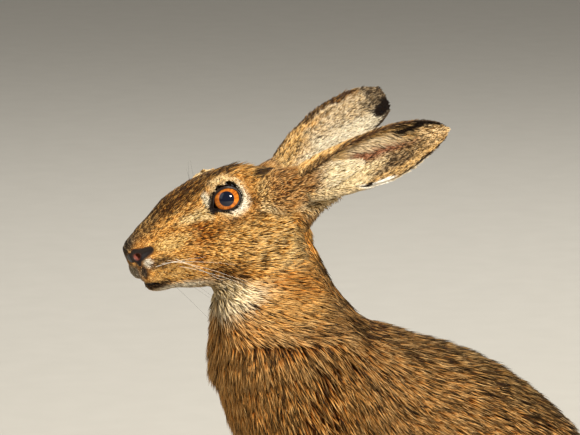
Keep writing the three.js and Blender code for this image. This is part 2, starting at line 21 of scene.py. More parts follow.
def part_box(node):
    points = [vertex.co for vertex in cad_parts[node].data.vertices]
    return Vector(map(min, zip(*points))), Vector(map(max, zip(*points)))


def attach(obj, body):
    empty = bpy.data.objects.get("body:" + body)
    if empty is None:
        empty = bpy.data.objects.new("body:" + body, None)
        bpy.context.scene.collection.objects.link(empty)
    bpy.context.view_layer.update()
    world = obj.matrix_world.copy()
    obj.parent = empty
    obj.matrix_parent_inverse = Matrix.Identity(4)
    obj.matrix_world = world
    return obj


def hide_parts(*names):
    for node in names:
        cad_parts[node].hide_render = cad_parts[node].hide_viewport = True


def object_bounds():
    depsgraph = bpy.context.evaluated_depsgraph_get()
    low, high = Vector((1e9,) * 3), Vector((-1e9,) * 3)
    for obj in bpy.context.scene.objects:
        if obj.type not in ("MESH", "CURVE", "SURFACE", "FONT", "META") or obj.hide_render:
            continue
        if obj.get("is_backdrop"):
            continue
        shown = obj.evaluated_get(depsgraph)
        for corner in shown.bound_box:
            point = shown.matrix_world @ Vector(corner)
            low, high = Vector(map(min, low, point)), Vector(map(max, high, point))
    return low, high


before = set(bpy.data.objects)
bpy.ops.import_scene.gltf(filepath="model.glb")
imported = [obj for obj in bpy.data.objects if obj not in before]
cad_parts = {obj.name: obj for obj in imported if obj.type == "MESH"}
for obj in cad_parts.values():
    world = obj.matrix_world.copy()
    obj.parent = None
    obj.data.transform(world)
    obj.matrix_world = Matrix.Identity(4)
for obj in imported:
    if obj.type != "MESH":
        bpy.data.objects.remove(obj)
CAD_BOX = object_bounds()

LOG = logging.getLogger("hare")
Array = np.ndarray
Distance = Callable[[Array], Array]
Place = tuple[float, float, float]

MM = 0.001
SEED = 11
TINY = 1e-9
SIDES = {"left": -1, "right": 1}

NOSE_X, NOSE_Z = -152.0, 291.0  # the foremost point of the nose
HEAD_PITCH = math.radians(18)  # how far the nose points down
HEAD_LENGTH = 118.0
FORE_SIDE, HIND_SIDE = 25.0, 50.0  # feet either side of the middle
FORE_STEP = 5.0  # the left forepaw is this far ahead of the middle stance
SOLE = 0.8  # height of the skin under the feet, where the coat of the sole begins


# Small helpers

def smoothstep(low: float, high: float, value: Array) -> Array:
    """0 below low and 1 above high, with a smooth rise between them; low may be the larger."""
    share = np.clip((value - low) / (high - low), 0, 1)
    return share * share * (3 - 2 * share)


def unit(vectors: Array) -> Array:
    """Rows of vectors at length 1."""
    return vectors / np.maximum(np.linalg.norm(vectors, axis=-1, keepdims=True), TINY)


def level(ways: Array, normals: Array) -> Array:
    """Directions laid along a skin that has the given normals."""
    return unit(ways - (ways * normals).sum(1, keepdims=True) * normals)


def tint(code: str) -> Array:
    """A colour such as "c8964f" as the linear values that a shader takes."""
    value = np.array([int(code[i:i + 2], 16) for i in (0, 2, 4)]) / 255
    return np.where(value <= 0.04045, value / 12.92, ((value + 0.055) / 1.055) ** 2.4)


def flow(a: Array, b: Array, width: float) -> Array:
    """Two shapes flowing into each other over the given width."""
    share = np.maximum(width - np.abs(a - b), 0) / width
    return np.minimum(a, b) - share * share * width / 4


def carve(value: Array, hollow: Array, width: float) -> Array:
    """A shape less a hollow, with its edge rounded over the given width."""
    return -flow(-value, hollow, width)


def ellipsoid(points: Array, centre: Sequence[float], radii: Sequence[float]) -> Array:
    """About the distance from an ellipsoid along the axes."""
    offset = points - np.asarray(centre, float)
    share = np.maximum(np.linalg.norm(offset / np.asarray(radii, float), axis=1), 1e-6)
    return np.linalg.norm(offset, axis=1) * (1 - 1 / share)


def capsule(points: Array, start: Sequence[float], end: Sequence[float], radii: tuple[float, float]) -> Array:
    """Distance from a round bar whose radius changes evenly from its start to its end."""
    a, along = np.asarray(start, float), np.subtract(end, start).astype(float)
    share = np.clip((points - a) @ along / (along @ along), 0, 1)
    gap = np.linalg.norm(points - a - share[:, None] * along, axis=1)
    return gap - (radii[0] + share * (radii[1] - radii[0]))


def wave(points: Array, scale: float, seed: int) -> Array:
    """Smooth noise from about -1 to 1, whose swells are about scale across."""
    rng = np.random.default_rng(seed)
    waves = unit(rng.normal(size=(7, 3))) * rng.uniform(0.6, 1.5, (7, 1)) * (2 * math.pi / scale)
    return np.sin(points @ waves.T + rng.uniform(0, 2 * math.pi, 7)).sum(1) / 3.2


class Profile:
    """A smooth curve through pairs of numbers, which never overshoots between them."""

    def __init__(self, *pairs: tuple[float, float]) -> None:
        """Takes the pairs in rising order and works out the curve's tangents."""
        self.x, self.y = np.array(pairs, float).T
        slope = np.diff(self.y) / np.diff(self.x)
        product = slope[:-1] * slope[1:]
        total = slope[:-1] + slope[1:]
        even = np.where(product > 0, 2 * product / np.where(product > 0, total, 1), 0)
        self.tangent = np.concatenate([slope[:1], even, slope[-1:]])

    def __call__(self, at: Array | float) -> Array:
        """The curve's height at each value, level with its ends beyond them."""
        at = np.clip(at, self.x[0], self.x[-1])
        i = np.clip(np.searchsorted(self.x, at, side="right") - 1, 0, len(self.x) - 2)
        width = self.x[i + 1] - self.x[i]
        t = (at - self.x[i]) / width
        start = (1 + 2 * t) * (1 - t) ** 2 * self.y[i] + t * (1 - t) ** 2 * width * self.tangent[i]
        end = (3 - 2 * t) * self.y[i + 1] + (t - 1) * width * self.tangent[i + 1]
        return start + t * t * end


# The head's own directions are back (from the nose along the skull), side, and up (square to both)
HEAD_AXES = np.array([
    [math.cos(HEAD_PITCH), 0, math.sin(HEAD_PITCH)],
    [0, 1, 0],
    [-math.sin(HEAD_PITCH), 0, math.cos(HEAD_PITCH)],
])
NOSE_POINT = np.array([NOSE_X, 0, NOSE_Z])


def to_head(points: Array) -> Array:
    """Places in the head's own directions."""
    return (points - NOSE_POINT) @ HEAD_AXES.T


def from_head(places: Array | Sequence[float]) -> Array:
    """Places of the head in the hare's own axes."""
    return np.asarray(places, float) @ HEAD_AXES + NOSE_POINT


def folded(points: Array) -> Array:
    """Points with the left side turned over onto the right."""
    return points * [1, 0, 1] + np.abs(points) * [0, 1, 0]


@dataclass
class Tube:
    """An oval tube with round ends, on a smooth line through its stations, less the coat's depth.

    A station is x, y, z, half depth and half width; coat is its depth at the first and last one.
    """

    stations: Sequence[Sequence[float]]
    coat: tuple[float, float]
    steps: int = 4
    far: float = 25.0  # further off than this, the distance to the bounding box is close enough

    def __post_init__(self) -> None:
        """Lays the smooth line and takes the coat's depth off the girth."""
        stations = np.array(self.stations, float)
        ends = 2 * stations[[0, -1]] - stations[[1, -2]]
        around = np.vstack([ends[:1], stations, ends[1:]])
        t = np.arange(self.steps)[:, None] / self.steps
        rows = [
            (2 * b + (c - a) * t + (2 * a - 5 * b + 4 * c - d) * t**2 + (3 * b - a - 3 * c + d) * t**3) / 2
            for a, b, c, d in zip(around, around[1:], around[2:], around[3:])
        ]
        line = np.vstack([*rows, stations[-1:]])
        line[:, 3:] -= np.linspace(*self.coat, len(line))[:, None]
        self.start, self.along = line[:-1], np.diff(line, axis=0)
        girth = line[:, 3:].max()
        self.low, self.high = line[:, :3].min(0) - girth, line[:, :3].max(0) + girth

    def distance(self, points: Array) -> Array:
        """About the distance of each point from the tube."""
        outside = np.maximum(np.maximum(self.low - points, points - self.high), 0)
        value = np.linalg.norm(outside, axis=1)
        near = value < self.far
        value[near] = self.nearest(points[near])[0]
        return value

    def nearest(self, points: Array) -> tuple[Array, Array, Array]:
        """The distance, the share of the way along and the angle round, for each point."""
        best, place, angle = np.full(len(points), np.inf), np.zeros(len(points)), np.zeros(len(points))
        for i, (start, along) in enumerate(zip(self.start, self.along)):
            offset = points - start[:3]
            t = np.clip(offset @ along[:3] / (along[:3] @ along[:3]), 0, 1)
            offset -= t[:, None] * along[:3]
            deep = np.hypot(offset[:, 0], offset[:, 2]) / (start[3] + t * along[3])
            wide = offset[:, 1] / (start[4] + t * along[4])
            share = np.maximum(np.hypot(deep, wide), 1e-6)
            found = np.linalg.norm(offset, axis=1) * (1 - 1 / share)
            closer = found < best
            up = offset[closer] @ np.array([-along[2], 0, along[0]]) / math.hypot(along[0], along[2])
            best[closer] = found[closer]
            place[closer] = (i + t[closer]) / len(self.start)
            angle[closer] = np.arctan2(offset[closer, 1], up)
        return best, place, angle


@dataclass
class Eye:
    """One eye: its ball, the almond between the lids and the way that it looks.

    The centre is in the head's own directions, for the right side; axis is the way that the right
    eye looks, in the hare's own axes. Half angles are measured at the centre of the ball.
    """

    centre: Place = (68.5, 17.4, 10.2)
    radius: float = 10.4
    axis: Place = (-0.338, 0.928, 0.156)
    half_wide: float = math.radians(50)
    half_high: float = math.radians(37)
    corner_at: float = math.radians(14)  # the front corner is this far below straight forward
    corner_reach: float = math.radians(14)
    iris: float = math.radians(49)
    pupil: float = math.radians(26)
    pad: tuple[float, float] = (13.2, 1.3)  # distance and angle off the axis of the pad under the lids
    tear: tuple[tuple[float, float], ...] = ((1.18, 1.5), (-0.26, -0.3), (12.6, 15.2))  # ends of its groove

    def __post_init__(self) -> None:
        """Works out the ball's place and the eye's own directions: forward, up and out."""
        self.middle = from_head(self.centre)
        self.out = unit(np.array(self.axis))
        forward = -HEAD_AXES[0]
        self.forward = unit(forward - (forward @ self.out) * self.out)
        self.up = unit(HEAD_AXES[2] - (HEAD_AXES[2] @ self.out) * self.out)
        self.up = unit(self.up - (self.up @ self.forward) * self.forward)

    def angles(self, points: Array) -> tuple[Array, Array, Array]:
        """The distance from the ball's centre, the angle off the axis and the angle round it."""
        offset = points - self.middle
        gap = np.linalg.norm(offset, axis=1)
        off_axis = np.arccos(np.clip(offset @ self.out / np.maximum(gap, TINY), -1, 1))
        return gap, off_axis, np.arctan2(offset @ self.up, offset @ self.forward)

    def opening(self, around: Array) -> Array:
        """How far off the axis the edges of the lids lie, at each angle round it."""
        oval = 1 / np.hypot(np.cos(around) / self.half_wide, np.sin(around) / self.half_high)
        off_corner = np.angle(np.exp(1j * (around + self.corner_at)))
        return oval + self.corner_reach * np.exp(-(off_corner / 0.24) ** 2)

    def lid(self, around: Array) -> Array:
        """Thickness of the lids over the ball, at each angle round its axis."""
        return 1.3 - 0.6 * np.sin(around)

    def away(self, places: Array) -> Array:
        """How far places of the head are from the ball's centre."""
        return np.linalg.norm(places - np.array(self.centre), axis=1)

    def socket(self, points: Array, value: Array) -> Array:
        """A form of the head with this eye's lids, the pad under them, the tear groove and the opening."""
        gap, off_axis, around = self.angles(points)
        value = flow(value, gap - (self.radius + self.lid(around)), 5.5)
        thick = 0.9 - 0.7 * np.sin(around + 0.3)
        value = flow(value, np.hypot(gap - self.pad[0], (off_axis - self.pad[1]) * 13) - thick, 5)
        groove = self.place(*(np.array(ends) for ends in self.tear))
        value = carve(value, capsule(points, *groove, (1.5, 0.6)), 1.6)
        slit = (off_axis - self.opening(around)) * gap
        value = carve(value, np.maximum(slit, self.radius - 2 - gap), 0.7)
        return carve(value, gap - (self.radius + 0.12), 0.2)

    def place(self, off_axis: Array, around: Array, reach: Array | float) -> Array:
        """Points at the given angles and distance from the ball's centre."""
        flat = np.cos(around)[..., None] * self.forward + np.sin(around)[..., None] * self.up
        way = np.cos(off_axis)[..., None] * self.out + np.sin(off_axis)[..., None] * flat
        return self.middle + np.asarray(reach)[..., None] * way


@dataclass(frozen=True)
class Stroke:
    """A round bar, in the head's own directions, that hollows its form out or raises it."""

    start: Place
    end: Place
    radii: tuple[float, float]
    width: float  # over which its edge is rounded
    raised: bool = False

    def work(self, place: Array, value: Array) -> Array:
        """The form at places of the head, with this stroke."""
        bar = capsule(place, self.start, self.end, self.radii)
        return flow(value, bar, self.width) if self.raised else carve(value, bar, self.width)


STROKES = (
    Stroke((6, 6.5, -1), (13, 11.5, 0.4), (2.6, 2), 3, raised=True),  # wing of the nostril
    Stroke((5.4, 11.2, -4.4), (12.6, 14.6, -2.4), (1.4, 0.8), 2),  # slit at its rear corner
    Stroke((3, 10.4, -5.8), (6.4, 6.6, -5.2), (2.5, 1.6), 1.4),  # opening of the nostril
    Stroke((-1, 0, -9.5), (5, 0, -24), (1.1, 1.7), 2.2),  # cleft of the lip
    Stroke((-2, 0, 1), (-1, 0, -8), (0.7, 0.7), 2),  # crease of the nose
    Stroke((2, 0, -23.5), (9, 10, -24.2), (1.4, 1.3), 2),  # mouth, in front
    Stroke((9, 10, -24.2), (30, 14.5, -29), (1.3, 0.7), 2),  # and at the side
)


@dataclass
class Head:
    """The head's form, by distance back from the nose, less the depth of its coat."""

    top: Profile = Profile((2, 0.2), (3.5, 2.6), (5, 4.3), (9, 7.2), (13, 9.8), (18, 12.2), (23, 14.8),
                           (27, 17), (31, 19.4), (36, 21.6), (41, 23.2), (47, 24.6), (54, 25.8),
                           (62, 26.6), (72, 26.8), (80, 26.2), (88, 23.6), (96, 19), (104, 14.8), (112, 11))
    bottom: Profile = Profile((2, -12), (8, -26), (14, -31.5), (26, -36.5), (42, -42), (58, -45.5),
                              (74, -44.5), (92, -38), (112, -28))
    half_width: Profile = Profile((2, 6.2), (3.5, 9.2), (6, 12.2), (9, 14.2), (20, 18), (34, 20), (46, 22.5),
                                  (60, 26), (76, 29), (92, 28.5), (112, 25))
    widest_up: Profile = Profile((2, -6), (12, -13), (30, -12), (60, -9), (112, -8))
    coat: Profile = Profile((0, 0.3), (9, 0.7), (22, 1.3), (45, 1.8), (75, 2.4), (105, 3.4))
    squareness: float = 2.15
    masses: tuple[tuple[float, ...], ...] = (
        (9, 0, -4, 8.5, 9.5, 8.5),  # nose
        (11, 8, -16.5, 9.5, 9.5, 9.5),  # upper lip and whisker pad
        (17, 0, -27, 11, 8, 7),  # chin
        (68, 16, 15.6, 15, 6, 3.6),  # brow above the eye
        (73, 15, -22, 27, 15.5, 21),  # cheek
        (88, 17, 3, 11, 11.6, 11),  # between the eye and the ear
    )
    featured: tuple[float, float] = (96.0, 20.0)  # fine features are this far back and off the form at most
    eye: Eye = field(default_factory=Eye)

    def distance(self, points: Array) -> Array:
        """About the distance of each point from the head, without its fine features."""
        place = to_head(folded(points))
        coat = self.coat(place[:, 0])
        value = self.skull(place)
        for mass in self.masses:
            value = flow(value, ellipsoid(place, mass[:3], mass[3:]), 4)
        return value + coat

    def skull(self, place: Array) -> Array:
        """About the distance of places of the head from the bare form of the skull."""
        back, side, up = place.T
        at = np.clip(back, 2, HEAD_LENGTH - 6)
        middle = self.widest_up(at)
        height = np.where(up > middle, self.top(at) - middle, middle - self.bottom(at))
        across = np.abs(side / self.half_width(at)) ** self.squareness
        upright = np.abs((up - middle) / height) ** self.squareness
        share = np.maximum((across + upright) ** (1 / self.squareness), 1e-6)
        radial = np.hypot(side, up - middle) * (1 - 1 / share)
        beyond = np.abs(back - at)
        return np.where(beyond > 0, np.hypot(np.maximum(radial, 0), beyond) - 1, radial)

    def sculpt(self, points: Array, value: Array) -> Array:
        """Adds lids and sockets, nostrils, lips and folds to the body's form.

        Args:
            points: places in the hare's own axes.
            value: the form of the body there, without these features.

        Returns:
            The form with them.
        """
        back, off = self.featured
        near = to_head(folded(points))
        chosen = (near[:, 0] < back) & (value < off) & (value > -off)
        if not chosen.any():
            return value
        fine = self.eye.socket(folded(points[chosen]), value[chosen])
        for stroke in STROKES:
            fine = stroke.work(near[chosen], fine)
        made = value.copy()
        made[chosen] = fine
        return made


TOE_COAT = (1.0, 1.0)


@dataclass
class Leg:
    """The upper part of one leg, and what is below it, of tubes that flow into each other."""

    upper: Tube
    lower: dict[str, Tube]
    toes: list[tuple[float, float, float, float]]  # the middle of each toe's tip, and its radius

    def outline(self) -> "Leg":
        """The same leg out to the tips of its coat."""
        lower = {name: replace(tube, coat=(0, 0)) for name, tube in self.lower.items()}
        return Leg(replace(self.upper, coat=(0, 0)), lower, self.toes)


def toe_tubes(toes: list[tuple[float, ...]], start: Callable[[Place], Place]) -> dict[str, Tube]:
    """A tube for each toe, from the place that start gives to its tip."""
    made = {}
    for i, (x, y, z, radius) in enumerate(toes):
        from_x, from_y, from_z = start((x, y, z))
        stations = [(from_x, from_y, from_z, radius + 1, radius), (x + radius, y, z, radius, radius * 0.9)]
        made[f"toe_{i + 1}"] = Tube(stations, TOE_COAT)
    return made


def fore_leg(side: int) -> Leg:
    """The foreleg of one side: upper arm, forearm, paw and five toes."""
    step, y = side * FORE_STEP, side * FORE_SIDE
    paw_x = -60 + step
    spread = [(-12.5, 11, 10, 3.6), (-8.5, 27, 5, 5.2), (-3, 31, 5.2, 5.2), (3, 31, 5.2, 5.2),
              (8.5, 27, 5, 5.2)]
    toes = [(paw_x - reach, y + side * across, z, radius) for across, reach, z, radius in spread]
    upper = Tube([(-36, side * 33, 214, 26, 17), (-34, side * 36, 186, 27, 18),
                  (-26, side * 33, 156, 20, 15.5)], (8, 5))
    forearm = Tube([(-27, side * 32, 156, 19, 15), (-37, side * 29, 118, 15, 12.5),
                    (-46 + step * 0.6, side * 26, 78, 12, 11), (paw_x + 6, y, 40, 10.5, 10.5)], (4.5, 2))
    paw = Tube([(paw_x + 6, y, 38, 10.5, 10.5), (paw_x + 1, y, 20, 10.5, 11.5), (paw_x - 9, y, 9, 10, 13),
                (paw_x - 18, y, 7, 8, 12)], (2, 1.6))
    tubes = toe_tubes(toes, lambda tip: (tip[0] + 15, y + (tip[1] - y) * 0.8, tip[2] + 2))
    return Leg(upper, {"forearm": forearm, "paw": paw, **tubes}, toes)


def hind_leg(side: int) -> Leg:
    """The hind leg of one side: thigh, shank, long foot and four toes."""
    y = side * HIND_SIDE
    spread = [(-11.5, 17, 6, 6), (-3.9, 23, 6.2, 6), (3.9, 23, 6.2, 6), (11.5, 17, 6, 6)]
    toes = [(-reach, y + side * across, z, radius) for across, reach, z, radius in spread]
    thigh = Tube([(124, side * 40, 104, 54, 24), (88, side * 46, 102, 55, 27), (48, side * 49, 92, 46, 25),
                  (18, side * 48, 78, 32, 20)], (8, 7))
    shank = Tube([(14, side * 50, 68, 21, 17), (54, side * 51, 50, 17, 15), (96, side * 50, 34, 14, 13),
                  (124, y, 22, 13, 12)], (5, 3))
    foot = Tube([(126, y, 13, 14, 11.5), (92, y, 11.5, 12.5, 12), (46, y, 11, 12, 13.5), (12, y, 10, 11, 16),
                 (-2, y, 8.5, 9.5, 15.5)], (2.5, 1.8))
    tubes = toe_tubes(toes, lambda tip: (tip[0] + 20, y + (tip[1] - y) * 0.75, tip[2] + 2))
    return Leg(thigh, {"shank": shank, "foot": foot, **tubes}, toes)


class Part(Enum):
    """The parts of the body that a coat piece may cover."""

    HEAD = 0
    NECK = 1
    TRUNK = 2
    TAIL = 3
    UPPER_ARM = 4
    FOREARM = 5
    PAW = 6
    THIGH = 7
    SHANK = 8
    FOOT = 9


@dataclass
class Body:
    """The whole body without its ears: head, neck, trunk, tail and legs, flowing into each other."""

    head: Head = field(default_factory=Head)
    neck: Tube = field(default_factory=lambda: Tube(
        [(-60, 0, 306, 28, 24), (-57, 0, 280, 33, 29), (-54, 0, 254, 41, 36), (-47, 0, 228, 47, 44)], (4, 6)))
    trunk: Tube = field(default_factory=lambda: Tube(
        [(-43, 0, 214, 49, 46), (-26, 0, 192, 60, 53), (12, 0, 166, 70, 61), (58, 0, 141, 77, 67),
         (98, 0, 108, 76, 68), (122, 0, 82, 60, 58)], (6.5, 7)))
    tail: Tube = field(default_factory=lambda: Tube(
        [(162, 0, 56, 20, 21), (190, 0, 38, 16, 17), (216, 0, 26, 15.5, 17), (240, 0, 21, 11, 12)], (8, 6)))
    fore: dict[int, Leg] = field(default_factory=lambda: {side: fore_leg(side) for side in SIDES.values()})
    hind: dict[int, Leg] = field(default_factory=lambda: {side: hind_leg(side) for side in SIDES.values()})
    below_ear: Place = (8, 7, 8)

    def outline(self) -> "Body":
        """The same body out to the tips of its coat."""
        neck, trunk, tail = (replace(tube, coat=(0, 0)) for tube in (self.neck, self.trunk, self.tail))
        legs = [{side: leg.outline() for side, leg in pair.items()} for pair in (self.fore, self.hind)]
        head = replace(self.head, coat=Profile((0, 0), (HEAD_LENGTH, 0)))
        return Body(head, neck, trunk, tail, *legs, below_ear=(11, 10, 11))

    def distance(self, points: Array) -> Array:
        """About the distance of each point from the body's smooth form."""
        value = flow(self.neck.distance(points), self.trunk.distance(points), 16)
        value = flow(value, self.head.distance(points), 12)
        value = flow(value, ellipsoid(folded(points), (-41, 18, 313), self.below_ear), 8)
        value = flow(value, capsule(folded(points), (-40, 19, 313), (-21, 26, 324), (6, 2.5)), 7)
        value = flow(value, self.tail.distance(points), 10)
        for side in SIDES.values():
            own = (points[:, 1] * side > 0) | ((points[:, 1] == 0) & (side > 0))
            value[own] = self.with_legs(points[own], value[own], side)
        return value

    def with_legs(self, points: Array, value: Array, side: int) -> Array:
        """The form on one side of the body with that side's legs."""
        fore, hind = self.fore[side], self.hind[side]
        value = flow(value, fore.upper.distance(points), 16)
        value = flow(value, hind.upper.distance(points), 9)
        for leg, width in ((fore, 6), (hind, 5)):
            lower = np.full(len(points), 1e3)
            for tube in leg.lower.values():
                lower = flow(lower, tube.distance(points), 3)
            value = flow(value, lower, width)
        return value

    def forms(self, side: int) -> dict[Part, list[Tube]]:
        """The tubes of each part but the head, on one side."""
        fore, hind = self.fore[side], self.hind[side]
        return {
            Part.NECK: [self.neck],
            Part.TRUNK: [self.trunk],
            Part.TAIL: [self.tail],
            Part.UPPER_ARM: [fore.upper],
            Part.FOREARM: [fore.lower["forearm"]],
            Part.PAW: [tube for name, tube in fore.lower.items() if name != "forearm"],
            Part.THIGH: [hind.upper],
            Part.SHANK: [hind.lower["shank"]],
            Part.FOOT: [tube for name, tube in hind.lower.items() if name != "shank"],
        }

    def parts_at(self, points: Array) -> Array:
        """The value of the part that each point lies nearest to."""
        nearest = self.head.distance(points)
        found = np.full(len(points), Part.HEAD.value)
        for side in SIDES.values():
            own = points[:, 1] * side >= 0
            for part, tubes in self.forms(side).items():
                value = np.min([tube.distance(points[own]) for tube in tubes], axis=0)
                closer = value < nearest[own]
                index = np.flatnonzero(own)[closer]
                nearest[index] = value[closer]
                found[index] = part.value
        return found

    def unwrap(self, points: Array, part: Part) -> Array:
        """Each point's place on a part that is unrolled round its own line, from 0 to 1 both ways."""
        if part is Part.HEAD:
            back, side, up = to_head(points).T
            angle = np.arctan2(side, up - self.head.widest_up(back))
            return np.stack([angle / (2 * math.pi) + 0.5, np.clip(back / 130, 0, 1)], 1)
        made = np.zeros((len(points), 2))
        for side in SIDES.values():
            own = points[:, 1] * side >= 0
            _, place, angle = self.forms(side)[part][0].nearest(points[own])
            made[own] = np.stack([angle / (2 * math.pi) + 0.5, place], 1)
        return made


# Meshes from forms

CORNERS = np.array([(i, j, k) for i in (0, 1) for j in (0, 1) for k in (0, 1)])


def surface_of(distance: Distance, low: Array, high: Array, cell: float) -> tuple[Array, Array]:
    """The surface where a form is 0, as even four-sided faces.

    Args:
        distance: the form.
        low: the lowest corner of the space that holds it.
        high: the highest corner.
        cell: the size of a face.

    Returns:
        The points, and the four points of each face.
    """
    block = 4
    margin = 1.7 * block * cell  # further off than this, no part of a block can reach the surface
    blocks = np.ceil((high - low) / (cell * block)).astype(int)
    middles = [low[i] + cell * (block * np.arange(blocks[i]) + (block - 1) / 2) for i in range(3)]
    rough = distance(np.stack(np.meshgrid(*middles, indexing="ij"), -1).reshape(-1, 3)).reshape(blocks)
    value = rough.repeat(block, 0).repeat(block, 1).repeat(block, 2)
    near = np.argwhere(np.abs(value) < margin)
    value[tuple(near.T)] = distance(low + cell * near)

    inside = value < 0
    cells = tuple(c - 1 for c in value.shape)
    corner = [tuple(slice(c[i], c[i] + cells[i]) for i in range(3)) for c in CORNERS]
    filled = sum(inside[at].astype(np.int8) for at in corner)
    active = np.argwhere((filled > 0) & (filled < len(CORNERS)))
    at_corner = np.stack([value[at][tuple(active.T)] for at in corner], 1)
    total, crossed = np.zeros((len(active), 3)), np.zeros(len(active))
    for a, start in enumerate(CORNERS):
        for axis in np.flatnonzero(start == 0):
            b = a + (4, 2, 1)[axis]
            cuts = (at_corner[:, a] < 0) != (at_corner[:, b] < 0)
            gap = np.where(cuts, at_corner[:, a] - at_corner[:, b], 1)
            step = np.zeros((len(active), 3)) + start
            step[:, axis] += at_corner[:, a] / gap
            total += step * cuts[:, None]
            crossed += cuts
    points = low + cell * (active + total / crossed[:, None])

    number = np.full(cells, -1)
    number[tuple(active.T)] = np.arange(len(active))
    faces = []
    for axis in range(3):
        before = [slice(1, c) for c in cells]
        before[axis] = slice(0, cells[axis])
        after = list(before)
        after[axis] = slice(1, cells[axis] + 1)
        turns = inside[tuple(before)].astype(np.int8) - inside[tuple(after)]
        spots = np.argwhere(turns != 0)
        outward = turns[tuple(spots.T)] > 0
        spots += [int(i != axis) for i in range(3)]
        one, two = (axis + 1) % 3, (axis + 2) % 3
        ring = []
        for p, q in ((0, 0), (1, 0), (1, 1), (0, 1)):
            shifted = spots.copy()
            shifted[:, one] -= p
            shifted[:, two] -= q
            ring.append(number[tuple(shifted.T)])
        quads = np.stack(ring, 1)
        quads[~outward] = quads[~outward][:, ::-1]
        faces.append(quads)
    return points, np.vstack(faces)


def settle(distance: Distance, points: Array, rounds: int, limit: float, reach: float = 0.25) -> Array:
    """Points moved along a form's slope until they lie on its surface.

    Args:
        distance: the form.
        points: where they start.
        rounds: how many times each is moved.
        limit: how far each may move in a round.
        reach: the step over which the slope is measured.

    Returns:
        The moved points.
    """
    points = points.copy()
    for _ in range(rounds):
        value = distance(points)
        slope = np.stack([distance(points + reach * step) - value for step in np.eye(3)], 1) / reach
        move = value[:, None] * slope / np.maximum((slope**2).sum(1), 0.1)[:, None]
        length = np.linalg.norm(move, axis=1, keepdims=True)
        points -= move * np.minimum(1, limit / np.maximum(length, TINY))
    return points


SHIFT = np.array([sum(corner.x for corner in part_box("eye_left")) / 2 / MM - from_head(Eye().centre)[0], 0, 0])


def in_frame(points: Array) -> Array:
    """The hare's own millimetres as metres of the frame."""
    return (points + SHIFT) * MM


def mesh_of(name: str, points: Array, faces: Sequence[Array]) -> bpy.types.Object:
    """An object with a mesh of points in the hare's own millimetres.

    Args:
        name: the piece's name.
        points: its points.
        faces: arrays of faces, each with its own number of corners.

    Returns:
        The object, in the scene, with smooth shading.
    """
    mesh = bpy.data.meshes.new(name)
    mesh.vertices.add(len(points))
    mesh.vertices.foreach_set("co", in_frame(points).astype(np.float32).ravel())
    corners = np.concatenate([f.ravel() for f in faces]).astype(np.int32)
    sizes = np.concatenate([np.full(len(f), f.shape[1]) for f in faces])
    mesh.loops.add(len(corners))
    mesh.loops.foreach_set("vertex_index", corners)
    mesh.polygons.add(len(sizes))
    mesh.polygons.foreach_set("loop_start", np.concatenate([[0], np.cumsum(sizes)[:-1]]).astype(np.int32))
    mesh.polygons.foreach_set("use_smooth", np.ones(len(sizes), bool))
    mesh.update(calc_edges=True)
    made = bpy.data.objects.new(name, mesh)
    bpy.context.scene.collection.objects.link(made)
    return made


def points_of(mesh: bpy.types.Mesh) -> Array:
    """A mesh's points in the hare's own millimetres."""
    flat = np.zeros(3 * len(mesh.vertices), np.float32)
    mesh.vertices.foreach_get("co", flat)
    return flat.reshape(-1, 3).astype(float) / MM - SHIFT


def set_points(piece: bpy.types.Object, points: Array) -> None:
    """Moves a piece's points to places in the hare's own millimetres."""
    piece.data.vertices.foreach_set("co", in_frame(points).astype(np.float32).ravel())
    piece.data.update()


def keep(piece: bpy.types.Object, name: str, values: Array) -> None:
    """Keeps a number or a colour for each of a piece's points, for its material to read."""
    colour = values.ndim == 2
    made = piece.data.attributes.new(name, "FLOAT_COLOR" if colour else "FLOAT", "POINT")
    if colour:
        values = np.hstack([values, np.ones((len(values), 1))])
    made.data.foreach_set("color" if colour else "value", values.astype(np.float32).ravel())


def sweep(lines: Array, radii: Array, sides: int, across: Array) -> tuple[Array, list[Array]]:
    """Round bars along many lines that have the same number of points, closed at both ends.

    Args:
        lines: the points of each line, as an array of lines, points and axes.
        radii: the radius at each point of each line.
        sides: how many sides a bar has.
        across: a direction for each line that it never runs along.

    Returns:
        The points and the faces.
    """
    count, rows = lines.shape[:2]
    way = unit(np.gradient(lines, axis=1))
    first = unit(np.cross(way, across[:, None, :]))
    second = np.cross(way, first)
    turn = 2 * math.pi * np.arange(sides) / sides
    ring = np.cos(turn)[:, None] * first[:, :, None, :] + np.sin(turn)[:, None] * second[:, :, None, :]
    points = (lines[:, :, None, :] + radii[:, :, None, None] * ring).reshape(-1, 3)
    at = np.arange(count * rows * sides).reshape(count, rows, sides)
    beside = np.roll(at, -1, axis=2)
    walls = np.stack([at[:, :-1], beside[:, :-1], beside[:, 1:], at[:, 1:]], -1).reshape(-1, 4)
    return points, [walls, at[:, 0, ::-1].reshape(-1, sides), at[:, -1].reshape(-1, sides)]


# Shader maths

class Wire:
    """One output of a shader's nodes, which takes part in a sum as a number does."""

    def __init__(self, shader: "Shader", socket: bpy.types.NodeSocket) -> None:
        """Keeps the socket and the shader that it belongs to."""
        self.shader, self.socket = shader, socket

    def __add__(self, other: "Wire | float") -> "Wire":
        """The sum of two values."""
        return self.shader.math("ADD", self, other)

    def __rsub__(self, other: float) -> "Wire":
        """A number less this value."""
        return self.shader.math("SUBTRACT", other, self)

    def __mul__(self, other: "Wire | float") -> "Wire":
        """The product of two values."""
        return self.shader.math("MULTIPLY", self, other)

    __radd__ = __add__
    __rmul__ = __mul__


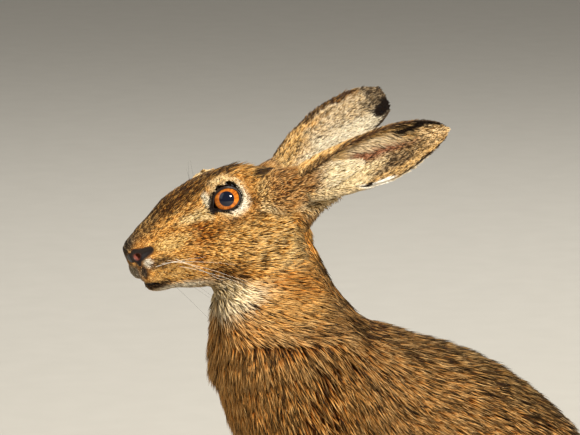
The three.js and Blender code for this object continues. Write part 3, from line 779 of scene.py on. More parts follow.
class Shader:
    """A material and the nodes that feed its one principled surface."""

    def __init__(self, name: str, **fixed: float | Sequence[float]) -> None:
        """Makes the material.

        Args:
            name: the material's name.
            fixed: the surface's own values, with _ for each blank in a socket's name.
        """
        self.material = bpy.data.materials.new(name)
        self.material.use_nodes = True
        self.tree = self.material.node_tree
        self.surface = self.tree.nodes["Principled BSDF"]
        for key, value in fixed.items():
            self.surface.inputs[key.replace("_", " ")].default_value = value

    def node(self, kind: str, settings: dict[str, object], inputs: dict[str | int, object]) -> bpy.types.Node:
        """Adds a node.

        Args:
            kind: the node's type, without its ShaderNode.
            settings: what is set on the node itself, before its sockets.
            inputs: a value or a wire for each socket, by its name or number.

        Returns:
            The node.
        """
        made = self.tree.nodes.new("ShaderNode" + kind)
        for name, value in settings.items():
            setattr(made, name, value)
        for key, value in inputs.items():
            self.feed(made.inputs[key], value)
        return made

    def feed(self, socket: bpy.types.NodeSocket, value: object) -> None:
        """Links a wire to a socket, or sets the socket's own value."""
        if isinstance(value, Wire):
            self.tree.links.new(value.socket, socket)
        else:
            socket.default_value = value

    def math(self, operation: str, *values: "Wire | float") -> Wire:
        """A value worked out of others by one Math node."""
        made = self.node("Math", {"operation": operation}, dict(enumerate(values)))
        return Wire(self, made.outputs[0])

    def kept(self, name: str, output: str = "Fac") -> Wire:
        """What the mesh keeps under this name for each of its points."""
        return Wire(self, self.node("Attribute", {"attribute_name": name}, {}).outputs[output])

    def rise(self, value: Wire, low: float, high: float) -> Wire:
        """0 where a value is below low and 1 above high, smooth between; low may be the larger."""
        settings = {"interpolation_type": "SMOOTHSTEP", "clamp": True}
        made = self.node("MapRange", settings, {0: value, 1: low, 2: high, 3: 0.0, 4: 1.0})
        return Wire(self, made.outputs[0])

    def mix(self, share: Wire | float, low: object, high: object) -> Wire:
        """One colour mixed into another; low and high are wires or linear colours."""
        pair = [value if isinstance(value, Wire) else (*value, 1) for value in (low, high)]
        settings = {"data_type": "RGBA", "clamp_factor": True}
        made = self.node("Mix", settings, {0: share, 6: pair[0], 7: pair[1]})
        return Wire(self, made.outputs[2])

    def scaled(self, colour: Wire, share: Wire) -> Wire:
        """A colour times a value."""
        made = self.node("VectorMath", {"operation": "SCALE"}, {0: colour, 3: share})
        return Wire(self, made.outputs[0])

    def noise(self, scale: float, detail: float = 2, place: Wire | None = None) -> Wire:
        """Even noise from 0 to 1 over the piece, or over the place given."""
        place = place or Wire(self, self.node("TexCoord", {}, {}).outputs["Object"])
        made = self.node("TexNoise", {}, {"Vector": place, "Scale": scale, "Detail": detail})
        return Wire(self, made.outputs["Fac"])

    def bump(self, height: Wire, depth: float, strength: float = 1) -> Wire:
        """A normal from a height, which is depth in metres at 1."""
        made = self.node("Bump", {}, {"Height": height, "Distance": depth, "Strength": strength})
        return Wire(self, made.outputs[0])

    def dress(self, piece: bpy.types.Object, **fed: Wire) -> None:
        """Feeds the surface, by the names of its sockets, and puts the material on a piece."""
        for key, wire in fed.items():
            self.feed(self.surface.inputs[key.replace("_", " ")], wire)
        piece.data.materials.append(self.material)


# Markings

@dataclass(frozen=True)
class Patch:
    """A patch of the coat's colour: an ellipsoid whose edge is soft.

    The place is in the head's own directions for a patch of the head, and else in the hare's own
    axes, on the right side. dark is the share of hairs there that are black-brown.
    """

    place: Place
    size: Place
    colour: str
    dark: float
    soft: float = 0.35

    def share(self, places: Array) -> Array:
        """How much each place has of the patch."""
        off = np.linalg.norm((places - self.place) / np.array(self.size), axis=1)
        return smoothstep(1 + self.soft, 1 - self.soft, off)


def patches_of(*rows: tuple[object, ...]) -> tuple[Patch, ...]:
    """Patches from the rows of their values."""
    return tuple(Patch(*row) for row in rows)


BODY_PATCHES = patches_of(
    ((60, 30, 110), (190, 62, 110), "bb8647", 0.3),  # flank and haunch
    ((20, 0, 236), (80, 36, 40), "946a38", 0.5),  # withers and back
    ((95, 0, 190), (80, 38, 40), "8b6636", 0.52),
    ((150, 0, 130), (36, 34, 60), "8c7150", 0.48),  # rump, greyer
    ((60, 0, 42), (120, 40, 34), "efe6d4", 0.02, 0.5),  # belly
    ((-90, 0, 190), (46, 44, 62), "cf9149", 0.24),  # chest
    ((-70, 0, 118), (34, 22, 50), "e2cda6", 0.08),  # breast between the forelegs
    ((-40, 38, 190), (30, 22, 40), "bf8541", 0.32),  # shoulder
    ((-52, 26, 70), (34, 18, 90), "c68c4a", 0.2),  # foreleg
    ((-80, 25, 6), (40, 20, 14), "d0a367", 0.1),  # forepaw
    ((40, 50, 16), (120, 24, 22), "d8b077", 0.12),  # hind foot
    ((40, 36, 8), (100, 10, 14), "e9dbc0", 0.02),
    ((210, 0, 28), (48, 24, 24), "f2ede2", 0.02, 0.2),  # tail, white below and at the sides
    ((204, 0, 56), (56, 12, 24), "171310", 0.95, 0.25),  # and black above
    ((-28, 0, 300), (30, 17, 48), "85602f", 0.7),  # nape
    ((-56, 26, 276), (26, 18, 34), "cf954b", 0.2),  # side of the neck
    ((-52, 27, 271), (19, 12, 10), "cc8638", 0.2, 0.5),
    ((-46, 22, 292), (15, 14, 10), "d98f3a", 0.1, 0.5),
)

HEAD_PATCHES = patches_of(
    ((50, 0, -10), (76, 40, 46), "dba04f", 0.2, 0.2),  # the whole head
    ((38, 0, 19), (46, 14, 14), "8c5c22", 0.74, 0.3),  # bridge of the nose
    ((17, 0, 8), (17, 10, 8), "9a7038", 0.55, 0.4),
    ((69, 0, 29), (33, 10, 6), "82571f", 0.8, 0.35),  # forehead
    ((102, 9, 14), (14, 13, 8), "80561f", 0.85, 0.35),  # crown, before the ears
    # pale cream at the root of the ear, made paler still as painted light where the lamps leave it in shade
    ((122, 28, -3), (18, 12, 12), "f0d29c", 0.08, 0.4),  # root of the ear
    ((138, 42, 4), (18, 12, 12), "ecd9b0", 0.05, 0.5),
    ((46, 20, -3), (14, 10, 7), "b97426", 0.42, 0.6),  # rufous below the eye
    ((66, 24, -3.5), (13, 8, 4.5), "9a652a", 0.45, 0.6),
    ((36, 18, -17), (9, 7, 4), "c17c2c", 0.32, 0.6),
    ((81.5, 24.5, 2), (5, 6, 8), "c58c44", 0.42, 0.6),  # orange behind the ring
    ((89, 26, 6), (4.5, 6, 8), "dcb06a", 0.3, 0.6),
    ((98, 25, 8), (6.5, 9, 7.5), "7a5626", 0.8, 0.5),  # and black-ticked beyond it
    ((93, 25, -3), (12, 8, 7), "eccf98", 0.16, 0.5),
    ((72, 27, -17), (27, 14, 13), "e0aa5a", 0.24, 0.4),  # cheek
    ((88, 26, -27), (20, 13, 14), "e6b76e", 0.2, 0.4),
    ((52, 18, -33), (14, 10, 8), "a46d2c", 0.42, 0.5),
    ((21, 14, -18), (13, 10, 8), "dba95c", 0.12, 0.5),  # whisker pad
    ((14, 17, -12.5), (8, 6, 3), "8d6633", 0.42, 0.5),
    ((25, 16, -3), (13, 8, 4.5), "dbb066", 0.1, 0.5),
    ((43, 18, 6.5), (12.5, 6, 3), "dcbc80", 0.12, 0.5),  # pale streak from the eye to the nose
    ((55, 17.6, 12.5), (4, 5, 5.5), "ddcfb0", 0.18, 0.4),
    ((68, 21, 12.8), (11.2, 13, 14.2), "e4c087", 0.05, 0.14),  # ring round the eye
    ((69.8, 21, 9.8), (8.8, 12, 9.8), "eadfc9", 0.0, 0.22),  # whiter behind it
    ((68, 14, 24), (10, 5.5, 4), "e2be82", 0.1, 0.4),  # cream above it
    ((60, 4.5, 26.5), (8, 5, 4.5), "82571f", 0.7, 0.4),  # dark above its front
    ((24, 6, -33), (20, 9, 6), "dfcfb2", 0.05, 0.4),  # chin
    ((62, 8, -46), (40, 14, 12), "e6cfa4", 0.1, 0.4),  # below the jaw
    ((8.2, 14.6, -10), (2.8, 3.4, 2.4), "cfc6b4", 0.1, 0.6),  # beside the nostril
    # the dark edge of the upper lip is painted shade under the whisker pad
    ((9, 6, -26), (8, 8, 3.6), "5a4026", 0.6, 0.4),  # edge of the upper lip
    ((3, 4, -16), (6, 7, 6), "b8a890", 0.15, 0.5),  # pale front of the lip
    # painted shadow between the pale front of the lip and the whisker pad
    ((4.5, 13.6, -15), (2.4, 2.6, 4.2), "5a4630", 0.55, 0.4),
    ((1.5, 0, -15.5), (5, 1.3, 8), "33261c", 0.9, 0.5),  # cleft of the lip
    ((1, 0, 1), (8, 8, 7), "6b573d", 0.5, 0.5),  # tip of the nose
)

NOSTRIL_INSIDE = (5.4, 7.8, -5.4)
NOSTRIL_SKIN = (  # bars from the nostril to the rear corner, to the lower one and to the front
    ((4.5, 9.5, -4.8), (12.4, 13.6, -3.2), (4.8, 2.5)),
    ((4, 9.5, -5), (3.8, 10.6, -9.6), (4.6, 1.9)),
    ((4, 8.5, -5), (0, 3.5, -6), (4.2, 2.4)),
)
DARK_HAIR = tint("150b05")
LID_SKIN, LID_HAIR = 0.5, 1.5  # widths of the lids' bare edge and of the dark hair round it
BASE_COLOUR, BASE_DARK = tint("b27f44"), 0.33


class Markings:
    """The colours of the coat at each place, the same for the skin and for the locks over it, with painted
    shade by the lip and painted light at the root of the ear.
    """

    def __init__(self, body: Body) -> None:
        """Takes the body, for the place of its eyes."""
        self.eye = body.head.eye

    def paint(self, points: Array) -> tuple[Array, Array]:
        """The colour of the ochre hairs, and the share of dark ones, at each point."""
        ground = np.tile(BASE_COLOUR, (len(points), 1))
        dark = np.full(len(points), BASE_DARK)
        places = folded(points)
        wander = np.stack([wave(points, 26, SEED + i) for i in range(3)], 1)
        near_head = to_head(places)
        for patches, where, sway in ((BODY_PATCHES, places, 3.0), (HEAD_PATCHES, near_head, 1.1)):
            for patch in patches:
                share = patch.share(where + wander * sway)
                ground += share[:, None] * (tint(patch.colour) - ground)
                dark += share * (patch.dark - dark)
        gap, edge, wide = self.beside_eye(places)
        rim = smoothstep(1.15, 0.75, edge / wide) * (gap < self.eye.radius + 6)
        ground += rim[:, None] * (DARK_HAIR - ground)
        return ground, dark * (1 - rim) + 0.9 * rim

    def beside_eye(self, places: Array) -> tuple[Array, Array, Array]:
        """How right-side places lie beside the eye.

        Args:
            places: places on the right side, in the hare's own axes.

        Returns:
            Their distance from the middle of the eye and from the lids' opening, and the width of
            the dark rim there, which is broadest above the eye and at its front corner.
        """
        gap, off_axis, around = self.eye.angles(places)
        wide = LID_HAIR * (0.88 + 0.48 * np.sin(around + 0.15) + 0.15 * np.cos(around))
        return gap, (off_axis - self.eye.opening(around)) * self.eye.radius, wide

    def bare(self, points: Array) -> Array:
        """How much each point is bare skin: the edge of the lids, the tear corner and the nostrils."""
        places = folded(points)
        gap, edge, _ = self.beside_eye(places)
        lid = smoothstep(LID_SKIN + 0.4, LID_SKIN - 0.3, edge) * (gap < self.eye.radius + 6)
        lid = np.maximum(lid, gap < self.eye.radius + self.eye.lid(self.eye.angles(places)[2]) - 0.5)
        nose = np.min([capsule(to_head(places), *bar) for bar in NOSTRIL_SKIN], axis=0)
        nose = smoothstep(0.3, -0.3, nose)
        mouth = smoothstep(1.2, 0.5, capsule(to_head(places), (3, 0, -23.4), (9, 10, -24.2), (1.2, 1.0)))
        return np.maximum(np.maximum(lid, nose), mouth)


# Skin

@dataclass
class Ear:
    """One ear: a sheet curled about its length, from a closed tube at its base to an open scoop.

    Along the ear u runs from 0 at its base to 1 at its tip, and share runs across it from -1 to 1.
    """

    side: int
    base: Place
    tip: Place
    bow: Place
    opens: Place
    radius: Profile = Profile((0, 9), (0.07, 12.6), (0.2, 15), (0.4, 16.4), (0.6, 17.2), (0.7, 16.4),
                              (0.8, 14.4), (0.88, 12), (0.95, 8.6), (1, 4.5))
    half_angle: Profile = Profile((0, 2.7), (0.13, 2.6), (0.27, 2.4), (0.37, 2.2), (0.45, 1.75), (0.6, 1.45),
                                  (0.8, 1.15), (1, 0.9))
    thickness: Profile = Profile((0, 4.6), (0.3, 3.8), (0.7, 3.2), (1, 2.2))
    roll: Profile = Profile((0, 0), (0.2, -0.05), (0.36, -0.08), (0.5, 0.2), (0.8, 0.32), (1, 0.1))
    trim: Profile = Profile((0, 0), (0.6, 0), (0.8, 0.06), (0.88, 0.12), (1, 0.2))  # lower edge drawn in
    rim_share: float = 0.5  # how thick the outline is at its edges, beside its middle
    skin_share: tuple[float, float] = (0.3, 0.7)  # depth of the skin's two faces in the outline's thickness
    buried: float = 0.05  # length of the ear that stands in the head, as a share of the rest
    round_tip: tuple[float, float] = (0.035, 0.035)  # upper and lower corner of the tip drawn back
    rows: int = 60
    columns: int = 30

    def __post_init__(self) -> None:
        """Works out the ear's own directions."""
        self.foot, self.end, self.bend = (np.array(v, float) for v in (self.base, self.tip, self.bow))
        self.along = unit(self.end - self.foot)
        opens = np.array(self.opens, float)
        self.facing = unit(opens - (opens @ self.along) * self.along)
        self.across = np.cross(self.along, self.facing)

    def spine(self, u: Array) -> Array:
        """The line along the middle of the ear's back."""
        return self.foot + u[..., None] * (self.end - self.foot) + np.sin(math.pi * u)[..., None] * self.bend

    def upper(self, share: Array) -> Array:
        """The share across, turned so that 1 is the ear's upper edge on either side."""
        return self.side * share

    def full_thickness(self, u: Array, share: Array) -> Array:
        """Thickness of the outline, with the coat on."""
        return self.thickness(u) * (1 - (1 - self.rim_share) * share**4)

    def place(self, u: Array, share: Array, depth: Array | float) -> Array:
        """Points at a depth below the ear's back, which is its convex face."""
        upper = self.upper(share)
        u = np.where(u > 0, u * (1 - np.where(upper > 0, *self.round_tip) * share**2), u)
        radius = self.radius(u)
        curl = 1 + self.roll(u) * np.maximum(upper, 0) ** 2 - self.trim(u) * np.maximum(-upper, 0) ** 2
        angle = share * self.half_angle(u) * curl
        reach = radius - depth
        across = (reach * np.sin(angle))[..., None] * self.across
        return self.spine(u) + across + (radius - reach * np.cos(angle))[..., None] * self.facing

    def cuff(self, points: Array) -> Array:
        """The form of the flesh that carries the ear and fills its root."""
        return capsule(points, *self.core(), (14, 3))

    def core(self) -> Array:
        """The two ends of the line along the middle of the flesh in the ear's root."""
        u = np.array([-0.1, 0.4])
        return self.spine(u) + self.radius(u)[:, None] * self.facing

    def sheet(self) -> tuple[Array, Array, Array, Array, Array]:
        """The ear's skin as a closed mesh of four-sided faces.

        Returns:
            For each point its u, its share across and 1 on the inner face, then the points and the faces.
        """
        u = np.linspace(-self.buried, 1, self.rows + 1)
        share = np.linspace(-1, 1, self.columns + 1)
        u, share = np.meshgrid(u, share, indexing="ij")
        full = self.full_thickness(np.clip(u, 0, 1), share)
        outer, inner = (self.place(u, share, full * part) for part in self.skin_share)
        ring = np.concatenate([outer, inner[:, ::-1]], axis=1)
        around = ring.shape[1]
        at = np.arange(ring.shape[0] * around).reshape(-1, around)
        beside = np.roll(at, -1, axis=1)
        walls = np.stack([at[:-1], at[1:], beside[1:], beside[:-1]], -1).reshape(-1, 4)
        half = around // 2
        caps = []
        for row, flip in ((at[0], False), (at[-1], True)):
            back = row[::-1]
            quads = np.stack([row[:half - 1], row[1:half], back[1:half], back[:half - 1]], 1)
            caps.append(quads[:, ::-1] if flip else quads)
        inner = np.repeat([0.0, 1.0], self.columns + 1)
        across = np.concatenate([share, share[:, ::-1]], axis=1)
        along = np.concatenate([u, u], axis=1)
        faces = np.vstack([walls, *caps])
        return along.ravel(), across.ravel(), np.tile(inner, len(ring)), ring.reshape(-1, 3), faces


EARS = {
    "left": Ear(-1, (-45, -19, 329), (46, -46, 363), (0, 4, -0.5), (-0.34, -0.93, 0.02)),
    "right": Ear(1, (-41, 18, 323), (41, 42, 367), (-1, -5, 1), (-0.3, 0.9, 0.2),
                 Profile((0, 8.5), (0.07, 10), (0.2, 12.6), (0.4, 15.8), (0.6, 17.4), (0.8, 17.6),
                         (0.92, 17), (1, 15)),
                 trim=Profile((0, 0), (0.8, 0), (0.92, 0.3), (1, 0.8)), round_tip=(0.0, 0.03)),
}
FLESH = ("head", "neck", "trunk", "tail", "ear_left", "ear_right", *(
    f"{limb}_{word}" for word in SIDES
    for limb in ("upper_arm", "forearm", "forepaw", "thigh", "shank", "hind_foot")))


@dataclass
class Skin:
    """The one skin of the whole animal, ears and lids with it, inside the coat."""

    body: Body
    markings: Markings
    cell: float = 3.0
    low: Place = (-160, -84, -8)
    high: Place = (250, 84, 362)
    fine_back: float = 100.0  # the head in front of this is made finer
    by_eye: float = 19.0  # and finer again this close to an eye, and at the nose and mouth
    by_mouth: tuple[float, float] = (20.0, -30.0)
    ears_above: float = 290.0  # flesh of the ears is only above this
    lid_rim: float = 0.6  # radius of the lids' edge
    lid_steps: int = 96
    lid_sides: int = 8
    corner_off: float = math.radians(56)  # the lids leave the ball where they open wider

    def form(self, points: Array) -> Array:
        """The form of the skin, level under the feet."""
        value = self.body.distance(points)
        near = points[:, 2] > self.ears_above
        for ear in EARS.values():
            value[near] = flow(value[near], ear.cuff(points[near]), 9)
        return self.body.head.sculpt(points, value)

    def build(self) -> bpy.types.Object:
        """Makes the skin, in place of every node of flesh."""
        low, high = (np.array(corner, float) for corner in (self.low, self.high))
        points, faces = surface_of(self.form, low, high, self.cell)
        piece = mesh_of("skin", settle(self.form, points, 2, self.cell / 2), [faces])
        self.refine(piece, lambda middle: to_head(middle)[:, 0] < self.fine_back)
        self.refine(piece, self.is_finest)
        points = settle(self.form, points_of(piece.data), 2, 0.5, 0.12)
        points[:, 2] = np.maximum(points[:, 2], SOLE)
        set_points(piece, points)
        self.rooted = piece.data.copy()
        self.paint_flesh(piece)
        parts = self.parts()
        for part in parts:
            self.face_outwards(part)
        with bpy.context.temp_override(active_object=piece, selected_editable_objects=[piece, *parts]):
            bpy.ops.object.join()
        SkinFinish().dress(piece)
        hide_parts(*FLESH)
        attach(piece, "root")
        return piece

    def is_finest(self, points: Array) -> Array:
        """Which points of the head are close to an eye, the nose or the mouth."""
        place = to_head(folded(points))
        to_eye = self.body.head.eye.away(place)
        return (to_eye < self.by_eye) | ((place[:, 0] < self.by_mouth[0]) & (place[:, 2] > self.by_mouth[1]))

    def refine(self, piece: bpy.types.Object, chosen: Callable[[Array], Array]) -> None:
        """Splits the edges of the chosen faces and settles the new points on the form."""
        mesh = bmesh.new()
        mesh.from_mesh(piece.data)
        mesh.faces.ensure_lookup_table()
        middles = np.array([face.calc_center_median() for face in mesh.faces]) / MM - SHIFT
        edges = {edge for i in np.flatnonzero(chosen(middles)) for edge in mesh.faces[i].edges}
        bmesh.ops.subdivide_edges(mesh, edges=list(edges), cuts=1, use_grid_fill=True)
        mesh.to_mesh(piece.data)
        mesh.free()
        set_points(piece, settle(self.form, points_of(piece.data), 2, self.cell / 3))

    def paint_flesh(self, piece: bpy.types.Object) -> None:
        """Keeps the markings on the body's skin."""
        points = points_of(piece.data)
        ground, dark = self.markings.paint(points)
        pink = smoothstep(3.4, 1.4, np.linalg.norm(to_head(folded(points)) - NOSTRIL_INSIDE, axis=1))
        self.paint(piece, ground, dark, self.markings.bare(points), pink)

    @staticmethod
    def paint(piece: bpy.types.Object, ground: Array, dark: Array, bare: Array, pink: Array) -> None:
        """Keeps on a part of the skin what its finish reads."""
        keep(piece, "ground", ground)
        keep(piece, "dark", dark)
        keep(piece, "bare", bare)
        keep(piece, "pink", pink)

    def parts(self) -> list[bpy.types.Object]:
        """Makes the ears and the edges of the lids, with what the finish reads."""
        made = []
        for word, ear in EARS.items():
            u, share, inner, points, faces = ear.sheet()
            sheet = mesh_of(f"ear_sheet_{word}", points, [faces])
            self.paint(sheet, *EarCoat(ear, word).paint(u, share, inner), np.zeros(len(u)), np.zeros(len(u)))
            made.append(sheet)
        for word, side in SIDES.items():
            points, faces = self.lid(side)
            rim = mesh_of(f"lid_{word}", points, faces)
            none = np.zeros(len(points))
            self.paint(rim, np.tile(BASE_COLOUR, (len(points), 1)), none, none + 1, none)
            made.append(rim)
        return made

    @staticmethod
    def face_outwards(piece: bpy.types.Object) -> None:
        """Turns the faces of a closed piece so that they point out."""
        mesh = bmesh.new()
        mesh.from_mesh(piece.data)
        bmesh.ops.recalc_face_normals(mesh, faces=mesh.faces)
        mesh.to_mesh(piece.data)
        mesh.free()

    def lid(self, side: int) -> tuple[Array, list[Array]]:
        """The rounded edge of both lids of one eye, as a bar round the opening."""
        eye = self.body.head.eye
        around = np.linspace(0, 2 * math.pi, self.lid_steps, endpoint=False)
        off_axis = eye.opening(around) + 0.05
        over = np.maximum(off_axis - self.corner_off, 0) * 4
        line = eye.place(off_axis, around, eye.radius + 0.35 + over)
        way = unit(np.roll(line, -1, 0) - np.roll(line, 1, 0))
        out = unit(line - eye.middle)
        across = np.cross(way, out)
        turn = (2 * math.pi * np.arange(self.lid_sides) / self.lid_sides)[None, :, None]
        wide = self.lid_rim * (1 + 0.25 * np.sin(around))[:, None, None]
        ring = np.cos(turn) * across[:, None] * 1.3 + np.sin(turn) * out[:, None]
        points = (line[:, None] + wide * ring) * [1, side, 1]
        at = np.arange(points.size // 3).reshape(points.shape[:2])
        beside, ahead = np.roll(at, -1, 1), np.roll(at, -1, 0)
        quads = np.stack([at, beside, np.roll(ahead, -1, 1), ahead], -1).reshape(-1, 4)
        return points.reshape(-1, 3), [quads]


@dataclass(frozen=True)
class SkinFinish:
    """The skin: painted dark under the coat, as the shade of the hairs over it, and dark and moist where it is
    bare.
    """

    bare: str = "150d0a"
    inside: str = "7d463b"
    # under darkens the skin beside the hairs: painted shade of the coat over it
    under: float = 0.32  # how light the skin is under the coat, beside the hairs
    pores: float = 0.00025

    def dress(self, piece: bpy.types.Object) -> None:
        """Puts the finish on the skin."""
        shader = Shader("hare_skin", Specular_IOR_Level=0.22)
        bare, dark, pink = (shader.kept(name) for name in ("bare", "dark", "pink"))
        grain = shader.noise(900, 3)
        patchy = shader.noise(120, 3)
        # deeper and more saturated under the coat: painted shade of the hairs over the skin
        deep = Wire(shader, shader.node("Gamma", {}, {0: shader.kept("ground", "Color"), 1: 1.5}).outputs[0])
        coat = shader.scaled(deep, self.under * (0.6 + 0.8 * grain))
        coat = shader.mix(dark * 0.7 * shader.rise(grain, 0.45, 0.6), coat, DARK_HAIR)
        moist = shader.mix(pink, tint(self.bare), tint(self.inside))
        moist = shader.scaled(moist, 0.7 + 0.7 * patchy)
        height = grain * (1 - bare * 0.6) + 0.4 * shader.noise(300, 2)
        shader.dress(
            piece,
            Base_Color=shader.mix(bare, coat, moist),
            Roughness=0.75 - 0.4 * bare + 0.1 * patchy,
            Coat_Weight=0.12 * bare,
            Normal=shader.bump(height, self.pores),
        )


# Coat

LIE_PLACES = np.array([
    (-40, 0, 332, 0.4, 0, -0.9),  # nape
    (-18, 0, 286, 0.3, 0, -0.95),
    (-58, 28, 284, 0.45, 0, -0.9),  # side of the neck
    (-86, 0, 262, 0.15, 0, -1),  # throat
    (-96, 0, 205, 0.15, 0, -1),  # chest
    (-80, 0, 140, 0.4, 0, -0.9),
    (-30, 48, 205, 0.45, 0.1, -0.9),  # shoulder
    (0, 0, 240, 0.85, 0, -0.5),  # back
    (60, 0, 215, 0.85, 0, -0.5),
    (120, 0, 178, 0.75, 0, -0.65),
    (160, 0, 130, 0.5, 0, -0.85),  # rump
    (178, 0, 84, 0.5, 0, -0.85),
    (35, 64, 160, 0.8, 0, -0.6),  # flank
    (95, 72, 120, 0.6, 0, -0.8),  # thigh
    (20, 62, 90, 0.3, 0, -0.95),
    (30, 0, 70, 1, 0, -0.1),  # belly
    (180, 0, 60, 0.86, 0, -0.5),  # tail
    (235, 0, 26, 0.95, 0, -0.25),
    (-34, 32, 130, -0.1, 0, -1),  # forearm
    (-52, 26, 60, -0.15, 0, -1),
    (-82, 25, 12, -1, 0, -0.3),  # forepaw
    (40, 56, 56, 0.7, 0, -0.7),  # shank
    (128, 50, 18, -0.1, 0, -1),  # heel
    (60, 50, 14, -1, 0, -0.2),  # hind foot
    (-10, 50, 8, -1, 0, -0.15),
], float)
LIE_REACH = 22.0
HAIR_SOURCE = (-12.0, 0.0, -7.0)  # the hair of the head runs away from here, in the head's own directions


def lie_of(points: Array, normals: Array, eye: Eye) -> Array:
    """Which way the coat lies, along the skin, at each point."""
    places = folded(points)
    side = np.where(points[:, 1:2] < 0, -1.0, 1.0)
    gap = ((places[:, None] - LIE_PLACES[None, :, :3]) ** 2).sum(2)
    weight = 1 / (gap + LIE_REACH**2) ** 3
    way = unit(weight @ LIE_PLACES[:, 3:])
    head = to_head(places)
    from_nose = unit(head - HAIR_SOURCE) + (0.15, 0, -0.1)
    off_eye = head - np.array(eye.centre)
    reach = np.linalg.norm(off_eye, axis=1, keepdims=True)
    outward = off_eye / reach
    towards = np.minimum((from_nose * outward).sum(1, keepdims=True), 0.25)
    from_nose += (0.25 - towards) * np.exp(-((reach - 11) / 9).clip(0) ** 2) * outward
    on_head = smoothstep(112, 90, head[:, :1]) * (places[:, 2:] > 235)
    way = way * (1 - on_head) + unit(from_nose) @ HEAD_AXES * on_head
    way = way * np.hstack([np.ones_like(side), side, np.ones_like(side)])
    for ear in EARS.values():
        by_ear = smoothstep(21, 9, capsule(points, *ear.core(), (0, 0)))[:, None]
        way += by_ear * (ear.along - way)
    return level(way, normals)


@dataclass
class Locks:
    """Many thin locks of hair, each a closed three-sided solid, pointed at both ends, that bends over."""

    root: Array
    normal: Array
    lie: Array
    length: Array
    width: Array
    ground: Array
    dark: Array
    unwrapped: Array
    rise: float  # how steeply a lock leaves the skin and how flat its tip lies, in radians
    fall: float
    lift: Array | float = 0.0  # what both have more, in a hollow of the skin
    broadest: float = 0.42  # share of the way along at which a lock is broadest
    sunk: float = 0.4  # how deep in the skin a lock starts
    floor: float = 0.15  # no hair goes below this height
    patch: float = 0.003  # size of a lock's patch on the unwrapped skin

    def gather(self, rng: np.random.Generator, share: float, every: int) -> None:
        """Draws the tips of neighbouring locks together.

        Args:
            rng: the source of chance.
            share: how far each tip goes to the middle of its clump.
            every: how many locks a clump has, on average.
        """
        tips = self.root + self.lie * self.length[:, None]
        chosen = rng.choice(len(tips), max(len(tips) // every, 1), replace=False)
        tree = KDTree(len(chosen))
        for i in chosen:
            tree.insert(tips[i], int(i))
        tree.balance()
        nearest = np.array([tree.find(tip)[1] for tip in tips])
        lie = self.lie * self.length[:, None] + share * (tips[nearest] - tips)
        self.lie = level(lie, self.normal)

    def stray(self, rng: np.random.Generator, spread: float) -> None:
        """Turns each lock a little, some one way and some the other."""
        turn = rng.normal(0, spread, (len(self.root), 1)) + spread * wave(self.root, 13, 5)[:, None]
        aside = np.cross(self.normal, self.lie)
        self.lie = unit(self.lie * np.cos(turn) + aside * np.sin(turn))

    def build(self, name: str, rng: np.random.Generator) -> bpy.types.Object:
        """Makes the piece, with its colours and its map."""
        count = len(self.root)
        aside = unit(np.cross(self.normal, self.lie))
        rise = self.rise * rng.uniform(0.6, 1.35, (count, 1))
        bend = rng.normal(0, 0.09, (count, 1))
        length, width = self.length[:, None], self.width[:, None]
        line = [self.root - self.sunk * self.normal]
        for before, part in ((0.0, self.broadest), (self.broadest, 1.0)):
            middle = (part + before) / 2
            lift = rise * (1 - middle) + self.fall * middle + np.reshape(self.lift, (-1, 1))
            way = self.lie * np.cos(lift) + self.normal * np.sin(lift) + aside * bend * middle * 2
            line.append(line[-1] + unit(way) * (part - before) * length)
        start, belly, tip = line
        half = aside * width / 2
        points = np.stack([start, belly + half, belly - half, belly + self.normal * width * 0.45, tip], 1)
        points[..., 2] = np.maximum(points[..., 2], self.floor)
        each = points.shape[1]
        ends = [(0, b, a) for a, b in ((1, 2), (2, 3), (3, 1))] + [(1, 2, 4), (2, 3, 4), (3, 1, 4)]
        faces = (np.arange(count)[:, None, None] * each + np.array(ends)).reshape(-1, 3)
        piece = mesh_of(name, points.reshape(-1, 3), [faces])
        along = np.array([0.0, *3 * [self.broadest], 1.0])
        keep(piece, "along", np.tile(along, count))
        keep(piece, "ground", self.ground.repeat(each, 0))
        keep(piece, "dark", self.dark.repeat(each))
        beside = np.array([0.5, 0.0, 1.0, 0.5, 0.5])
        spots = self.unwrapped[:, None] + self.patch * (np.stack([beside, along], 1)[None] - 0.5)
        layer = piece.data.uv_layers.new(name="OFBake")
        layer.data.foreach_set("uv", spots.reshape(-1, 2)[faces.ravel()].astype(np.float32).ravel())
        return piece


def fill_map(places: Array) -> Array:
    """Unwrapped places stretched to fill the map, clear of its edges."""
    low, high = places.min(0), places.max(0)
    return 0.01 + 0.98 * (places - low) / np.maximum(high - low, TINY)


def hair_colours(rng: np.random.Generator, root: Array, ground: Array, dark: Array) -> tuple[Array, Array]:
    """The colour and darkness of each lock, drawn round those of its place, and much alike in neighbours."""
    count = len(ground)
    light = (rng.beta(1.1, 1.8, (count, 1)) + 0.3 * wave(root, 4.2, SEED + 7)[:, None]).clip(0, 1)
    dark = (dark + 1.35 * wave(root, 3.4, SEED + 8) * dark ** 0.75 * np.sqrt(1.02 - dark)).clip(0, 1)
    pale = ground ** 0.66
    colour = ground * (0.6 + 0.45 * rng.random((count, 1))) * (1 - 0.85 * light) + pale * 0.85 * light
    is_dark = rng.random(count) < dark
    return colour, np.where(is_dark, rng.uniform(0.7, 1, count), rng.uniform(0, 0.35, count) * (dark > 0.05))


